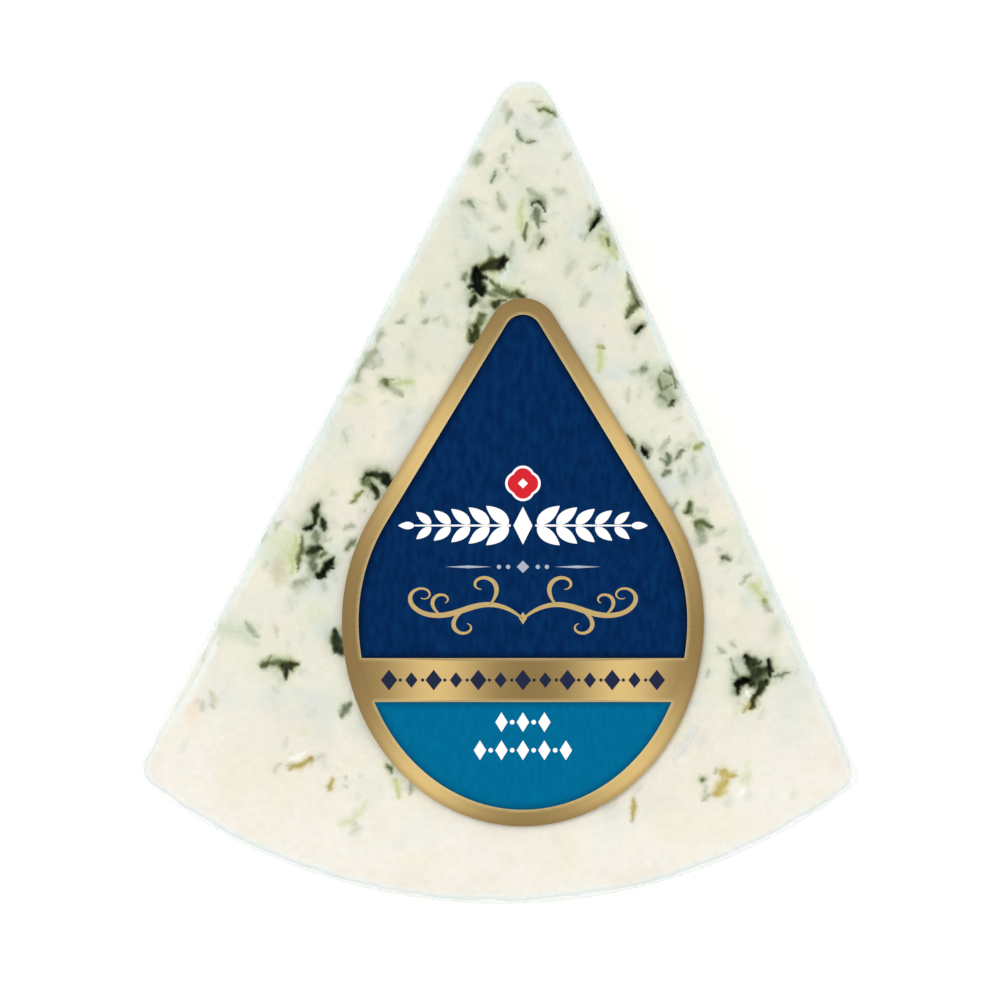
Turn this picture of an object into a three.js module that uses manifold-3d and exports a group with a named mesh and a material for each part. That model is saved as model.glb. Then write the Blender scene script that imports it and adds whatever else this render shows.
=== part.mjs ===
// A wedge of blue-veined gorgonzola, lying flat, with a drop-shaped label on its veined face.
// Millimetres, +Z up. The tip of the wedge points to +Y, and the origin is the middle of its underside.

import * as THREE from 'three';
import { ImprovedNoise } from 'three/addons/math/ImprovedNoise.js';
import { mergeVertices } from 'three/addons/utils/BufferGeometryUtils.js';
import Module from 'manifold-3d';

const wasm = await Module();
wasm.setup();

// The wedge: a slice of a low round wheel, its two cut edges meeting at a blunt tip.
const thickness = 35;
const cutEdgesMeet = new THREE.Vector2(3.5, 54.9);
const leftEdgeLean = 28.2;
const rightEdgeLean = 24.2;
const rindCentre = new THREE.Vector2(0.3, 20.8);
const rindRadius = 71;
const tipRadius = 3.9;
const leftCornerRadius = 2.4;
const rightCornerRadius = 1.7;
const easedEdge = 1.2;

// How coarsely the walls are divided.
const tipSteps = 6;
const cornerSteps = 4;
const cutEdgeSteps = 34;
const rindSteps = 32;
const wallRows = 9;
const easedSteps = 2;

// Low relief: the cut walls crumble, and the rind only waves.
const cutWallRelief = 0.6;
const rindRelief = 0.35;
const reliefGrain = 8;
const reliefFade = 3;

// Pockets: hollows in the paste where the mould grew, cut open by the knife.
const pocketSides = 10;
const pocketUnevenness = 0.26;
const pocketMouth = 0.5;
const wallPocketCount = 13;
const wallPocketMargin = 4.5;
const wallPocketSpacing = 6.5;

// The label: a drop with straight shoulders and a round foot, in foil with two sunk fields.
const labelCentre = new THREE.Vector2(2.9, -15.9);
const labelHalfWidth = 21.9;
const labelFootDepth = 24.8;
const labelShoulderLean = 31.2;
const labelFlankRadius = 25;
const labelTipRadius = 4.3;
const labelThickness = 0.3;
const foilRise = 0.14;
const foilFrameWidth = 2;
const foilBandTop = -4.45;
const foilBandBottom = -9.75;
const labelArcSteps = 9;
const labelFootSteps = 30;

const pasteColour = 0xecebe0;
const foilColour = 0xb8955c;

// Veined face pockets: middle, length and width, turn from +X, and depth.
const tipPockets = [
  { at: [5.4, 46.1], size: [2.4, 0.9], turn: -15, deep: 0.8 },
  { at: [3.7, 41.9], size: [2.0, 0.9], turn: -12, deep: 0.6 },
  { at: [-0.3, 37.8], size: [1.9, 1.1], turn: 50, deep: 0.8 },
  { at: [0.3, 34.9], size: [2.4, 0.9], turn: -62, deep: 0.7 },
  { at: [4.7, 33.6], size: [3.7, 1.5], turn: -78, deep: 1.4 },
  { at: [3.0, 31.1], size: [3.5, 0.9], turn: 80, deep: 0.9 },
  { at: [5.1, 29.8], size: [2.0, 0.8], turn: 62, deep: 0.8 },
  { at: [11.9, 32.9], size: [3.3, 1.5], turn: 58, deep: 1.8 },
  { at: [13.7, 29.5], size: [3.1, 1.6], turn: -55, deep: 0.7 },
  { at: [16.4, 24.3], size: [4.4, 1.5], turn: -62, deep: 1.1 },
];

const slotPockets = [
  { at: [-1.0, 27.6], size: [5.0, 1.8], turn: 17, deep: 2.0 },
  { at: [-2.2, 24.9], size: [5.0, 1.6], turn: 86, deep: 2.4 },
  { at: [-0.1, 23.2], size: [2.6, 1.1], turn: -62, deep: 1.2 },
];

const leftPockets = [
  { at: [-12.0, 20.6], size: [1.8, 1.0], turn: 10, deep: 0.5 },
  { at: [-16.0, 15.0], size: [3.6, 1.6], turn: 52, deep: 0.6 },
  { at: [-11.4, 12.6], size: [3.2, 1.0], turn: -34, deep: 0.8 },
  { at: [-15.6, 0.8], size: [2.4, 1.1], turn: 68, deep: 1.2 },
  { at: [-13.6, 0.5], size: [2.6, 1.2], turn: -50, deep: 1.4 },
  { at: [-17.2, -1.1], size: [2.2, 1.0], turn: 32, deep: 0.9 },
  { at: [-21.6, -2.9], size: [3.9, 1.6], turn: 66, deep: 1.8 },
  { at: [-23.2, -5.2], size: [2.3, 1.1], turn: 52, deep: 1.0 },
  { at: [-22.3, -8.4], size: [4.2, 1.3], turn: 86, deep: 1.8 },
  { at: [-20.8, -9.5], size: [3.2, 1.3], turn: -34, deep: 1.5 },
  { at: [-26.6, -21.1], size: [4.6, 1.6], turn: 0, deep: 1.6 },
  { at: [-23.9, -32.7], size: [3.0, 1.3], turn: 24, deep: 0.9 },
  { at: [-17.6, -39.1], size: [4.4, 0.9], turn: 34, deep: 0.5 },
];

const rightPockets = [
  { at: [20.4, 12.2], size: [4.6, 2.6], turn: -52, deep: 0.7 },
  { at: [18.0, 4.6], size: [1.7, 1.1], turn: 70, deep: 1.2 },
  { at: [21.4, 4.1], size: [2.8, 1.1], turn: 25, deep: 0.6 },
  { at: [24.8, -4.7], size: [2.6, 1.9], turn: 12, deep: 1.1 },
  { at: [27.4, -8.3], size: [1.3, 1.0], turn: 0, deep: 0.8 },
  { at: [30.2, -10.8], size: [3.0, 0.9], turn: -56, deep: 0.5 },
  { at: [27.5, -34.9], size: [3.7, 1.9], turn: 62, deep: 1.2 },
];

const starPockets = [
  { at: [29.6, -23.6], size: [2.5, 2.2], turn: -40, deep: 3.0 },
  { at: [30.9, -20.9], size: [2.8, 2.4], turn: 20, deep: 2.2 },
  { at: [32.9, -21.4], size: [2.9, 1.1], turn: 84, deep: 1.6 },
  { at: [31.9, -23.7], size: [3.6, 2.3], turn: 60, deep: 2.4 },
  { at: [30.7, -25.7], size: [2.3, 1.0], turn: 60, deep: 1.0 },
  { at: [34.4, -22.3], size: [2.4, 0.8], turn: 14, deep: 0.5 },
];

const noise = new ImprovedNoise();

function seededRandom(seed) {
  let state = seed;
  return () => {
    state = (state * 1664525 + 1013904223) % 4294967296;
    return state / 4294967296;
  };
}

// A station is a point of an outline with the direction that faces out there.
function arcStations(centre, radius, from, to, steps, stretch = 1) {
  const stations = [];
  for (let step = 0; step < steps; step++) {
    const angle = from + (to - from) * step / steps;
    const point = new THREE.Vector2(Math.cos(angle), stretch * Math.sin(angle));
    const outward = new THREE.Vector2(stretch * Math.cos(angle), Math.sin(angle)).normalize();
    stations.push({ point: point.multiplyScalar(radius).add(centre), outward });
  }
  return stations;
}

function lineStations(start, end, outward, steps) {
  const stations = [];
  for (let step = 0; step < steps; step++) {
    stations.push({ point: start.clone().lerp(end, step / steps), outward: outward.clone() });
  }
  return stations;
}

// A cut edge runs from the tip to the rind: side is -1 on the left and 1 on the right.
function cutEdge(side, lean, cornerRadius) {
  const angle = THREE.MathUtils.degToRad(lean);
  const along = new THREE.Vector2(side * Math.sin(angle), -Math.cos(angle));
  const outward = new THREE.Vector2(side * Math.cos(angle), Math.sin(angle));
  // The corner circle touches the edge and, from inside, the rind.
  const toRind = cutEdgesMeet.clone().addScaledVector(outward, -cornerRadius).sub(rindCentre);
  const across = toRind.dot(along);
  const reach = (rindRadius - cornerRadius) ** 2 - toRind.lengthSq() + across ** 2;
  const edgeLength = Math.sqrt(reach) - across;
  const corner = toRind.clone().addScaledVector(along, edgeLength);
  return {
    outward,
    cornerCentre: corner.clone().add(rindCentre),
    cornerAngle: Math.atan2(corner.y, corner.x) + 2 * Math.PI,
    end: cutEdgesMeet.clone().addScaledVector(along, edgeLength),
  };
}

function wedgeStations() {
  const left = cutEdge(-1, leftEdgeLean, leftCornerRadius);
  const right = cutEdge(1, rightEdgeLean, rightCornerRadius);
  const leftAngle = Math.PI - THREE.MathUtils.degToRad(leftEdgeLean);
  const rightAngle = THREE.MathUtils.degToRad(rightEdgeLean);
  const halfTip = (Math.PI - leftAngle + rightAngle) / 2;
  const bisector = (rightAngle + leftAngle - Math.PI) / 2;
  const tipDepth = tipRadius / Math.sin(halfTip);
  const tipCentre = new THREE.Vector2(
    cutEdgesMeet.x + tipDepth * Math.sin(bisector),
    cutEdgesMeet.y - tipDepth * Math.cos(bisector),
  );
  const leftTop = tipCentre.clone().addScaledVector(left.outward, tipRadius);
  const rightTop = tipCentre.clone().addScaledVector(right.outward, tipRadius);
  const fullTurn = 2 * Math.PI;
  const runs = [
    [arcStations(tipCentre, tipRadius, rightAngle, leftAngle, tipSteps), cutWallRelief],
    [lineStations(leftTop, left.end, left.outward, cutEdgeSteps), cutWallRelief],
    [arcStations(left.cornerCentre, leftCornerRadius, leftAngle, left.cornerAngle, cornerSteps), rindRelief],
    [arcStations(rindCentre, rindRadius, left.cornerAngle, right.cornerAngle, rindSteps), rindRelief],
    [arcStations(right.cornerCentre, rightCornerRadius, right.cornerAngle, rightAngle + fullTurn, cornerSteps),
      rindRelief],
    [lineStations(right.end, rightTop, right.outward, cutEdgeSteps), cutWallRelief],
  ];
  return runs.flatMap(([stations, relief]) => stations.map((station) => ({ ...station, relief })));
}

// Inset and height of each row of the wall, from the underside up over the eased edges.
function wallProfile() {
  const foot = [];
  for (let step = 0; step <= easedSteps; step++) {
    const angle = Math.PI / 2 * step / easedSteps;
    foot.push({ inset: easedEdge * (1 - Math.sin(angle)), height: easedEdge * (1 - Math.cos(angle)) });
  }
  const straight = [];
  for (let row = 1; row < wallRows; row++) {
    straight.push({ inset: 0, height: easedEdge + (thickness - 2 * easedEdge) * row / wallRows });
  }
  const shoulder = foot.map(({ inset, height }) => ({ inset, height: thickness - height })).reverse();
  return [...foot, ...straight, ...shoulder];
}

// How far the wall stands back at a place, nothing at the underside and the veined face.
function dent(point, height, relief) {
  const wave = noise.noise(point.x / reliefGrain, point.y / reliefGrain, height / reliefGrain);
  const fade = Math.min(1, height / reliefFade, (thickness - height) / reliefFade);
  return relief * fade * (0.5 + wave);
}

function wedgeGeometry() {
  const stations = wedgeStations();
  const profile = wallProfile();
  const around = stations.length;
  const positions = [];
  for (const { inset, height } of profile) {
    for (const { point, outward, relief } of stations) {
      const back = inset + Math.max(0, dent(point, height, relief));
      positions.push(point.x - back * outward.x, point.y - back * outward.y, height);
    }
  }
  const faces = [];
  for (let row = 0; row < profile.length - 1; row++) {
    for (let column = 0; column < around; column++) {
      const next = (column + 1) % around;
      const low = row * around;
      const high = low + around;
      faces.push(low + column, low + next, high + next);
      faces.push(low + column, high + next, high + column);
    }
  }
  const flatFace = stations.map(({ point, outward }) => point.clone().addScaledVector(outward, -easedEdge));
  const topRing = (profile.length - 1) * around;
  for (const [a, b, c] of THREE.ShapeUtils.triangulateShape(flatFace, [])) {
    faces.push(c, b, a);
    faces.push(topRing + a, topRing + b, topRing + c);
  }
  const geometry = new THREE.BufferGeometry();
  geometry.setAttribute('position', new THREE.Float32BufferAttribute(positions, 3));
  geometry.setIndex(faces);
  return geometry;
}

function solidFrom(geometry) {
  const bare = geometry.clone();
  bare.deleteAttribute('normal');
  bare.deleteAttribute('uv');
  const merged = mergeVertices(bare);
  return new wasm.Manifold(new wasm.Mesh({
    numProp: 3,
    vertProperties: new Float32Array(merged.attributes.position.array),
    triVerts: new Uint32Array(merged.index.array),
  }));
}

function geometryFrom(solid) {
  const mesh = solid.getMesh();
  const geometry = new THREE.BufferGeometry();
  geometry.setAttribute('position', new THREE.BufferAttribute(mesh.vertProperties, 3));
  geometry.setIndex(new THREE.BufferAttribute(mesh.triVerts, 1));
  geometry.computeVertexNormals();
  return geometry;
}

// What a pocket takes away: an uneven bowl, its mouth in the XY plane and its bottom below.
function pocketGeometry(length, width, deep, random) {
  const levels = [
    { height: pocketMouth, spread: 1.1 },
    { height: 0, spread: 1 },
    { height: -0.6 * deep, spread: 0.7 },
  ];
  const reaches = Array.from({ length: pocketSides }, () => 1 + pocketUnevenness * (2 * random() - 1));
  const positions = [0, 0, pocketMouth];
  for (const { height, spread } of levels) {
    reaches.forEach((reach, side) => {
      const angle = 2 * Math.PI * side / pocketSides;
      const across = spread * reach / 2;
      positions.push(across * length * Math.cos(angle), across * width * Math.sin(angle), height);
    });
  }
  positions.push(0.15 * length * (random() - 0.5), 0, -deep);
  const faces = [];
  const bottom = levels.length * pocketSides + 1;
  for (let side = 0; side < pocketSides; side++) {
    const next = (side + 1) % pocketSides;
    faces.push(0, 1 + side, 1 + next);
    for (let level = 0; level < levels.length - 1; level++) {
      const high = 1 + level * pocketSides;
      const low = high + pocketSides;
      faces.push(high + side, low + side, low + next);
      faces.push(high + side, low + next, high + next);
    }
    const lowest = 1 + (levels.length - 1) * pocketSides;
    faces.push(bottom, lowest + next, lowest + side);
  }
  const geometry = new THREE.BufferGeometry();
  geometry.setAttribute('position', new THREE.Float32BufferAttribute(positions, 3));
  geometry.setIndex(faces);
  return geometry;
}

function facePocket({ at, size, turn, deep }, random) {
  const place = new THREE.Matrix4().makeTranslation(at[0], at[1], thickness);
  place.multiply(new THREE.Matrix4().makeRotationZ(THREE.MathUtils.degToRad(turn)));
  return pocketGeometry(size[0], size[1], deep, random).applyMatrix4(place);
}

// Pockets open in both cut walls too, scattered with room between them.
function wallPockets(random) {
  const pockets = [];
  for (const [side, lean, radius] of [[-1, leftEdgeLean, leftCornerRadius], [1, rightEdgeLean, rightCornerRadius]]) {
    const { end, outward } = cutEdge(side, lean, radius);
    const edgeLength = end.distanceTo(cutEdgesMeet);
    const placed = [];
    while (placed.length < wallPocketCount) {
      const share = 0.12 + 0.76 * random();
      const height = wallPocketMargin + (thickness - 2 * wallPocketMargin) * random();
      const spot = new THREE.Vector2(share * edgeLength, height);
      if (placed.some((other) => other.distanceTo(spot) < wallPocketSpacing)) {
        continue;
      }
      placed.push(spot);
      const foot = cutEdgesMeet.clone().lerp(end, share);
      const place = new THREE.Matrix4().makeTranslation(foot.x, foot.y, height);
      place.multiply(new THREE.Matrix4().makeRotationZ(Math.atan2(outward.y, outward.x)));
      place.multiply(new THREE.Matrix4().makeRotationY(Math.PI / 2));
      place.multiply(new THREE.Matrix4().makeRotationZ(Math.PI * random()));
      const length = 2.4 + 3.2 * random();
      const width = length * (0.35 + 0.3 * random());
      pockets.push(pocketGeometry(length, width, 1.2 + 0.3 * length, random).applyMatrix4(place));
    }
  }
  return pockets;
}

function cheeseWedge() {
  const random = seededRandom(7);
  const namedPockets = [...tipPockets, ...slotPockets, ...leftPockets, ...rightPockets, ...starPockets];
  const cutters = namedPockets.map((pocket) => facePocket(pocket, random));
  cutters.push(...wallPockets(random));
  let solid = solidFrom(wedgeGeometry());
  for (const cutter of cutters) {
    solid = solid.subtract(solidFrom(cutter));
  }
  const material = new THREE.MeshStandardMaterial({ color: pasteColour, roughness: 0.5, metalness: 0 });
  const mesh = new THREE.Mesh(geometryFrom(solid), material);
  mesh.name = 'cheese_wedge';
  return mesh;
}

// The drop's outline, counted from the widest line, moved in by an inset.
function dropOutline(inset) {
  const lean = THREE.MathUtils.degToRad(labelShoulderLean);
  const flankX = labelHalfWidth - labelFlankRadius;
  const shoulderX = flankX + labelFlankRadius * Math.cos(lean);
  const shoulderY = labelFlankRadius * Math.sin(lean);
  const shouldersMeet = shoulderY + shoulderX / Math.tan(lean);
  const tipCentre = new THREE.Vector2(0, shouldersMeet - labelTipRadius / Math.sin(lean));
  const rightFlank = new THREE.Vector2(flankX, 0);
  const leftFlank = new THREE.Vector2(-flankX, 0);
  const stretch = labelFootDepth / labelHalfWidth;
  const stations = [
    ...arcStations(rightFlank, labelFlankRadius, 0, lean, labelArcSteps),
    { point: new THREE.Vector2(shoulderX, shoulderY), outward: new THREE.Vector2(Math.cos(lean), Math.sin(lean)) },
    ...arcStations(tipCentre, labelTipRadius, lean, Math.PI - lean, labelArcSteps),
    { point: tipCentre.clone().add(new THREE.Vector2(-Math.cos(lean), Math.sin(lean)).multiplyScalar(labelTipRadius)),
      outward: new THREE.Vector2(-Math.cos(lean), Math.sin(lean)) },
    ...arcStations(leftFlank, labelFlankRadius, Math.PI - lean, Math.PI, labelArcSteps),
    ...arcStations(new THREE.Vector2(), labelHalfWidth, Math.PI, 2 * Math.PI, labelFootSteps, stretch),
  ];
  return stations.map(({ point, outward }) => point.clone().addScaledVector(outward, -inset));
}

function slab(points, from, to) {
  const shape = new THREE.Shape(points);
  const geometry = new THREE.ExtrudeGeometry(shape, { depth: to - from, bevelEnabled: false });
  return solidFrom(geometry.translate(0, 0, from));
}

function dropLabel() {
  const top = labelThickness + foilRise;
  const clear = 1;
  const fields = slab(dropOutline(foilFrameWidth), labelThickness, top + clear);
  const band = new THREE.BoxGeometry(2 * labelHalfWidth, foilBandTop - foilBandBottom, 2 * (top + clear));
  band.translate(0, (foilBandTop + foilBandBottom) / 2, 0);
  const solid = slab(dropOutline(0), 0, top).subtract(fields.subtract(solidFrom(band)));
  const material = new THREE.MeshStandardMaterial({ color: foilColour, roughness: 0.35, metalness: 0.6 });
  const mesh = new THREE.Mesh(geometryFrom(solid), material);
  mesh.name = 'label';
  mesh.position.set(labelCentre.x, labelCentre.y, thickness);
  return mesh;
}

const wedge = cheeseWedge();
const label = dropLabel();
wedge.geometry.computeBoundingBox();
const middle = wedge.geometry.boundingBox.getCenter(new THREE.Vector3());

const model = new THREE.Group();
model.add(wedge, label);
model.position.set(-middle.x, -middle.y, 0);

export default model;
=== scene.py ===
import math
import bpy
import numpy as np
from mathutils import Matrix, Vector, geometry


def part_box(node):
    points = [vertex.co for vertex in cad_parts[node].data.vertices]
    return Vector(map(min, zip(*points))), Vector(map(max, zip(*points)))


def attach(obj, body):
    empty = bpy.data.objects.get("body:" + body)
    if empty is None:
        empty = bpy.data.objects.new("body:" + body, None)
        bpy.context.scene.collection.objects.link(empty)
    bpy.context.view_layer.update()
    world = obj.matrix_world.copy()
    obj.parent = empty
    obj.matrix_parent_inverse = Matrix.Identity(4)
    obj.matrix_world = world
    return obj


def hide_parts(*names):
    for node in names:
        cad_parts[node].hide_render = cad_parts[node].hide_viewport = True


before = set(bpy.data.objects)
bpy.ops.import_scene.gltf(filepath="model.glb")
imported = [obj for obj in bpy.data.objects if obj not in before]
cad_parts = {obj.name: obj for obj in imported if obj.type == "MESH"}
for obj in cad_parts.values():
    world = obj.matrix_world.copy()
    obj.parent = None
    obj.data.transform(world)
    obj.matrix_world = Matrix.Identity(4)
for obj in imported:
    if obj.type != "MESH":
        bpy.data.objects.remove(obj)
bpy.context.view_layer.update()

mm = 0.001

# Everything below is drawn in mm and goes to metres when its mesh is made.
wedge = {
    "thickness": 35,
    "cutEdgesMeet": (3.5, 54.9),
    "leftLean": 28.2,
    "rightLean": 24.2,
    "rindCentre": (0.3, 20.8),
    "rindRadius": 71,
    "tipRadius": 3.9,
    "leftCorner": 2.4,
    "rightCorner": 1.7,
}

label = {
    "centre": (2.9, -15.9),  # middle of the widest line
    "halfWidth": 21.9,
    "footDepth": 24.8,
    "shoulderLean": 31.2,
    "flankRadius": 25,
    "tipRadius": 4.3,
    "base": 0.3,
    "foilRise": 0.11,
    "frameWidth": 2,
    "bandTop": -4.45,
    "bandBottom": -9.75,
    "spacing": 0.4,
    "foilSpacing": 0.3,
    "foilMargin": 0.12,
    "stampedEdge": 0.05,
    "fieldSpacing": 0.6,
    "fieldMargin": 0.3,
    "fieldLow": 0.1,
    "fieldShade": 0.85,
    "shadeReach": 0.9,
}

# The solid was centred after it was drawn, and the label's box tells by how much.
labelLow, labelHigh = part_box("label")
drawnMiddle = np.array([label["centre"][0], label["centre"][1] - label["footDepth"]])
shift = np.array([(labelLow.x + labelHigh.x) / 2, labelLow.y]) / mm - drawnMiddle
cutEdgesMeet = np.array(wedge["cutEdgesMeet"]) + shift
rindCentre = np.array(wedge["rindCentre"]) + shift
labelCentre = np.array(label["centre"]) + shift


# Small helpers

def hexChannels(hexCode):
    return np.array([int(hexCode[i:i + 2], 16) for i in (0, 2, 4)]) / 255


def toLinear(channels):
    return np.where(channels <= 0.04045, channels / 12.92, ((channels + 0.055) / 1.055) ** 2.4)


def linearColour(hexCode):
    return (*toLinear(hexChannels(hexCode)), 1.0)


def ease(start, end, value):
    share = np.clip((value - start) / (end - start), 0, 1)
    return share * share * (3 - 2 * share)


def easeBelow(top, start, end, height):
    # start and end are depths under the top
    return ease(top - start, top - end, height)


def atHeight(flat, height):
    return np.column_stack([flat, np.full(len(flat), height)])


# What shuffles the cells of the lattice noise: large odd factors, and an offset between seeds
scramble = {
    "axes": np.array([73856093, 19349663, 83492791]),
    "seed": 2654435,
    "mix": 1274126177,
    "offset": 17.31,
}


def roughNoise(places, grain, seed):
    # seeded lattice noise from -1 to 1, with lumps of about one grain
    spots = places / grain + seed * scramble["offset"]
    cells = np.floor(spots).astype(np.int64)
    parts = spots - cells
    smooth = parts * parts * (3 - 2 * parts)
    axes = places.shape[1]
    total = np.zeros(len(places))
    for corner in range(2 ** axes):
        step = np.array([(corner >> axis) & 1 for axis in range(axes)])
        key = (cells + step) @ scramble["axes"][:axes] + seed * scramble["seed"]
        key = ((key ^ (key >> 13)) * scramble["mix"]) & 0xffffffff
        value = ((key ^ (key >> 16)) & 0xffff) / 65535
        total += np.prod(np.where(step, smooth, 1 - smooth), axis=1) * value
    return 2 * total - 1


def layeredNoise(places, layers, seed, total=0):
    # adds up layers of noise: how strong each is, its lumps in mm, and its step from the seed
    for strength, lump, step in layers:
        total = total + strength * roughNoise(places, lump, seed + step)
    return total


def addNode(material, kind, settings=None, links=None):
    node = material.node_tree.nodes.new("ShaderNode" + kind)
    for name, value in (settings or {}).items():
        if name == "stops":
            ramp = node.color_ramp.elements
            while len(ramp) < len(value):
                ramp.new(0.5)
            for element, (place, colour) in zip(ramp, value):
                element.position = place
                element.color = colour
        elif isinstance(name, int) or name in node.inputs:
            node.inputs[name].default_value = value
        else:
            setattr(node, name, value)
    for name, socket in (links or {}).items():
        material.node_tree.links.new(socket, node.inputs[name])
    return node


def newMaterial(name):
    material = bpy.data.materials.new(name)
    material.use_nodes = True
    material.node_tree.nodes.clear()
    return material


def makePiece(name, corners, faces, material, painted=None):
    mesh = bpy.data.meshes.new(name)
    mesh.from_pydata([tuple(corner) for corner in np.asarray(corners) * mm], [], faces)
    for attribute, values in (painted or {}).items():
        values = np.asarray(values, np.float32)
        if values.ndim == 1:
            mesh.attributes.new(attribute, "FLOAT", "POINT").data.foreach_set("value", values)
        else:
            rgba = np.concatenate([values, np.ones((len(values), 1), np.float32)], axis=1)
            mesh.attributes.new(attribute, "FLOAT_COLOR", "POINT").data.foreach_set("color", rgba.ravel())
    mesh.polygons.foreach_set("use_smooth", [True] * len(mesh.polygons))
    mesh.materials.append(material)
    mesh.update()
    piece = bpy.data.objects.new(name, mesh)
    bpy.context.scene.collection.objects.link(piece)
    return piece


def shadeFlat(piece):
    piece.data.polygons.foreach_set("use_smooth", [False] * len(piece.data.polygons))


# Outlines: points with the direction that faces out, counted round from the tip to the left

def arcRun(centre, radius, start, end, spacing, stretch=1):
    steps = max(3, round(abs(end - start) * radius / spacing))
    angles = start + (end - start) * np.arange(steps) / steps
    around = np.stack([np.cos(angles), stretch * np.sin(angles)], axis=1)
    outward = np.stack([stretch * np.cos(angles), np.sin(angles)], axis=1)
    outward /= np.linalg.norm(outward, axis=1)[:, None]
    return centre + radius * around, outward


def lineRun(start, end, outward, spacing):
    steps = max(1, round(np.linalg.norm(end - start) / spacing))
    shares = (np.arange(steps) / steps)[:, None]
    return start + (end - start) * shares, np.tile(outward, (steps, 1))


def cutEdge(side, gap, corner):
    # a cut edge, moved in by gap, with the middle of the circle that rounds it into the rind
    angle = math.radians(wedge["leftLean"] if side < 0 else wedge["rightLean"])
    along = np.array([side * math.sin(angle), -math.cos(angle)])
    outward = np.array([side * math.cos(angle), math.sin(angle)])
    start = cutEdgesMeet - outward * (gap + corner) - rindCentre
    across = start @ along
    reach = wedge["rindRadius"] - gap - corner
    length = math.sqrt(reach ** 2 - start @ start + across ** 2) - across
    spot = start + along * length
    return {
        "along": along,
        "outward": outward,
        "length": length,
        "spot": spot + rindCentre,
        "turn": math.atan2(spot[1], spot[0]) + 2 * math.pi,
    }


def wedgeOutline(own):
    # the wedge's outline, moved in by a gap, with a piece's own rounding at the tip and the corners
    sizes = {**wedge, **own}
    gap = sizes["gap"]
    tip = sizes["tipRadius"]
    leftCorner = sizes["leftCorner"]
    rightCorner = sizes["rightCorner"]
    spacing = sizes["spacing"]
    left = cutEdge(-1, gap, leftCorner)
    right = cutEdge(1, gap, rightCorner)
    leftOut = left["outward"]
    rightOut = right["outward"]
    tipSpot = cutEdgesMeet + np.linalg.solve(np.array([leftOut, rightOut]), np.full(2, -(gap + tip)))
    leftAngle = math.pi - math.radians(sizes["leftLean"])
    rightAngle = math.radians(sizes["rightLean"])
    leftEnd = left["spot"] + leftOut * leftCorner
    rightEnd = right["spot"] + rightOut * rightCorner
    # each run goes with how much it belongs to the rind, at its start and at its end
    runs = [
        (arcRun(tipSpot, tip, rightAngle, leftAngle, spacing), 0, 0),
        (lineRun(tipSpot + leftOut * tip, leftEnd, leftOut, spacing), 0, 0),
        (arcRun(left["spot"], leftCorner, leftAngle, left["turn"], spacing), 0, 1),
        (arcRun(rindCentre, sizes["rindRadius"] - gap, left["turn"], right["turn"], spacing), 1, 1),
        (arcRun(right["spot"], rightCorner, right["turn"], rightAngle + 2 * math.pi, spacing), 1, 0),
        (lineRun(rightEnd, tipSpot + rightOut * tip, rightOut, spacing), 0, 0),
    ]
    spots = np.concatenate([run[0] for run, _, _ in runs])
    outward = np.concatenate([run[1] for run, _, _ in runs])
    rind = np.concatenate([np.linspace(first, last, len(run[0])) for run, first, last in runs])
    hops = np.linalg.norm(np.roll(spots, -1, axis=0) - spots, axis=1)
    along = np.concatenate([[0], np.cumsum(hops)[:-1]])
    return {"spots": spots, "outward": outward, "rind": rind, "along": along}


# Surfaces: what lies inside an outline, and the faces that fill and close it

def depthInside(places, loops):
    # how far a place lies inside the loops, by the even-odd rule, and below zero outside them
    inside = np.zeros(len(places), bool)
    nearest = np.full(len(places), np.inf)
    for loop in loops:
        for start, end in zip(loop, np.roll(loop, -1, axis=0)):
            side = end - start
            crosses = (start[1] > places[:, 1]) != (end[1] > places[:, 1])
            rise = side[1] if side[1] else 1e-12
            inside ^= crosses & (places[:, 0] < start[0] + side[0] * (places[:, 1] - start[1]) / rise)
            share = np.clip(((places - start) @ side) / (side @ side), 0, 1)
            away = np.linalg.norm(places - start - share[:, None] * side, axis=1)
            nearest = np.minimum(nearest, away)
    return np.where(inside, nearest, -nearest)


def fillLoops(loops, inner):
    # the triangles that fill the loops through the inner points, numbered loops first
    points = np.concatenate([*loops, inner]) if len(inner) else np.concatenate(loops)
    edges = []
    first = 0
    for loop in loops:
        count = len(loop)
        edges += [(first + i, first + (i + 1) % count) for i in range(count)]
        first += count
    found = geometry.delaunay_2d_cdt([Vector(point) for point in points], edges, [], 0, 1e-6, True)
    source = np.array([min(origins) for origins in found[3]])
    faces = source[np.array(found[2])]
    middles = points[faces].mean(axis=1)
    return faces[depthInside(middles, loops) > 0].tolist()


def hexPoints(loop, spacing):
    # a grid of even triangles over the box round a loop
    low = loop.min(axis=0)
    high = loop.max(axis=0)
    rows = np.arange(low[1], high[1], spacing * math.sqrt(3) / 2)
    columns = np.arange(low[0], high[0], spacing)
    grid = [np.stack([columns + spacing / 2 * (row % 2), np.full(len(columns), y)], axis=1)
            for row, y in enumerate(rows)]
    return np.concatenate(grid)


def innerPoints(loops, spacing, margin):
    # the grid's points inside the loops, kept off them by the margin
    grid = hexPoints(loops[0], spacing)
    return grid[depthInside(grid, loops) > margin]


def wallRows(sizes):
    # inset, height and how far the surface faces up, for each row from the underside to the face
    edge = sizes["edge"]
    foot = sizes["foot"]
    top = sizes["top"]
    bend = np.linspace(0, math.pi / 2, sizes["edgeSteps"] + 1)
    low = [(edge * (1 - math.sin(a)), foot + edge * (1 - math.cos(a)), -math.cos(a)) for a in bend]
    count = round((top - foot - 2 * edge) / sizes["rowSpacing"])
    middle = [(0, z, 0) for z in np.linspace(foot + edge, top - edge, count + 1)[1:-1]]
    high = [(inset, foot + top - z, -up) for inset, z, up in reversed(low)]
    return low + middle + high


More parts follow.
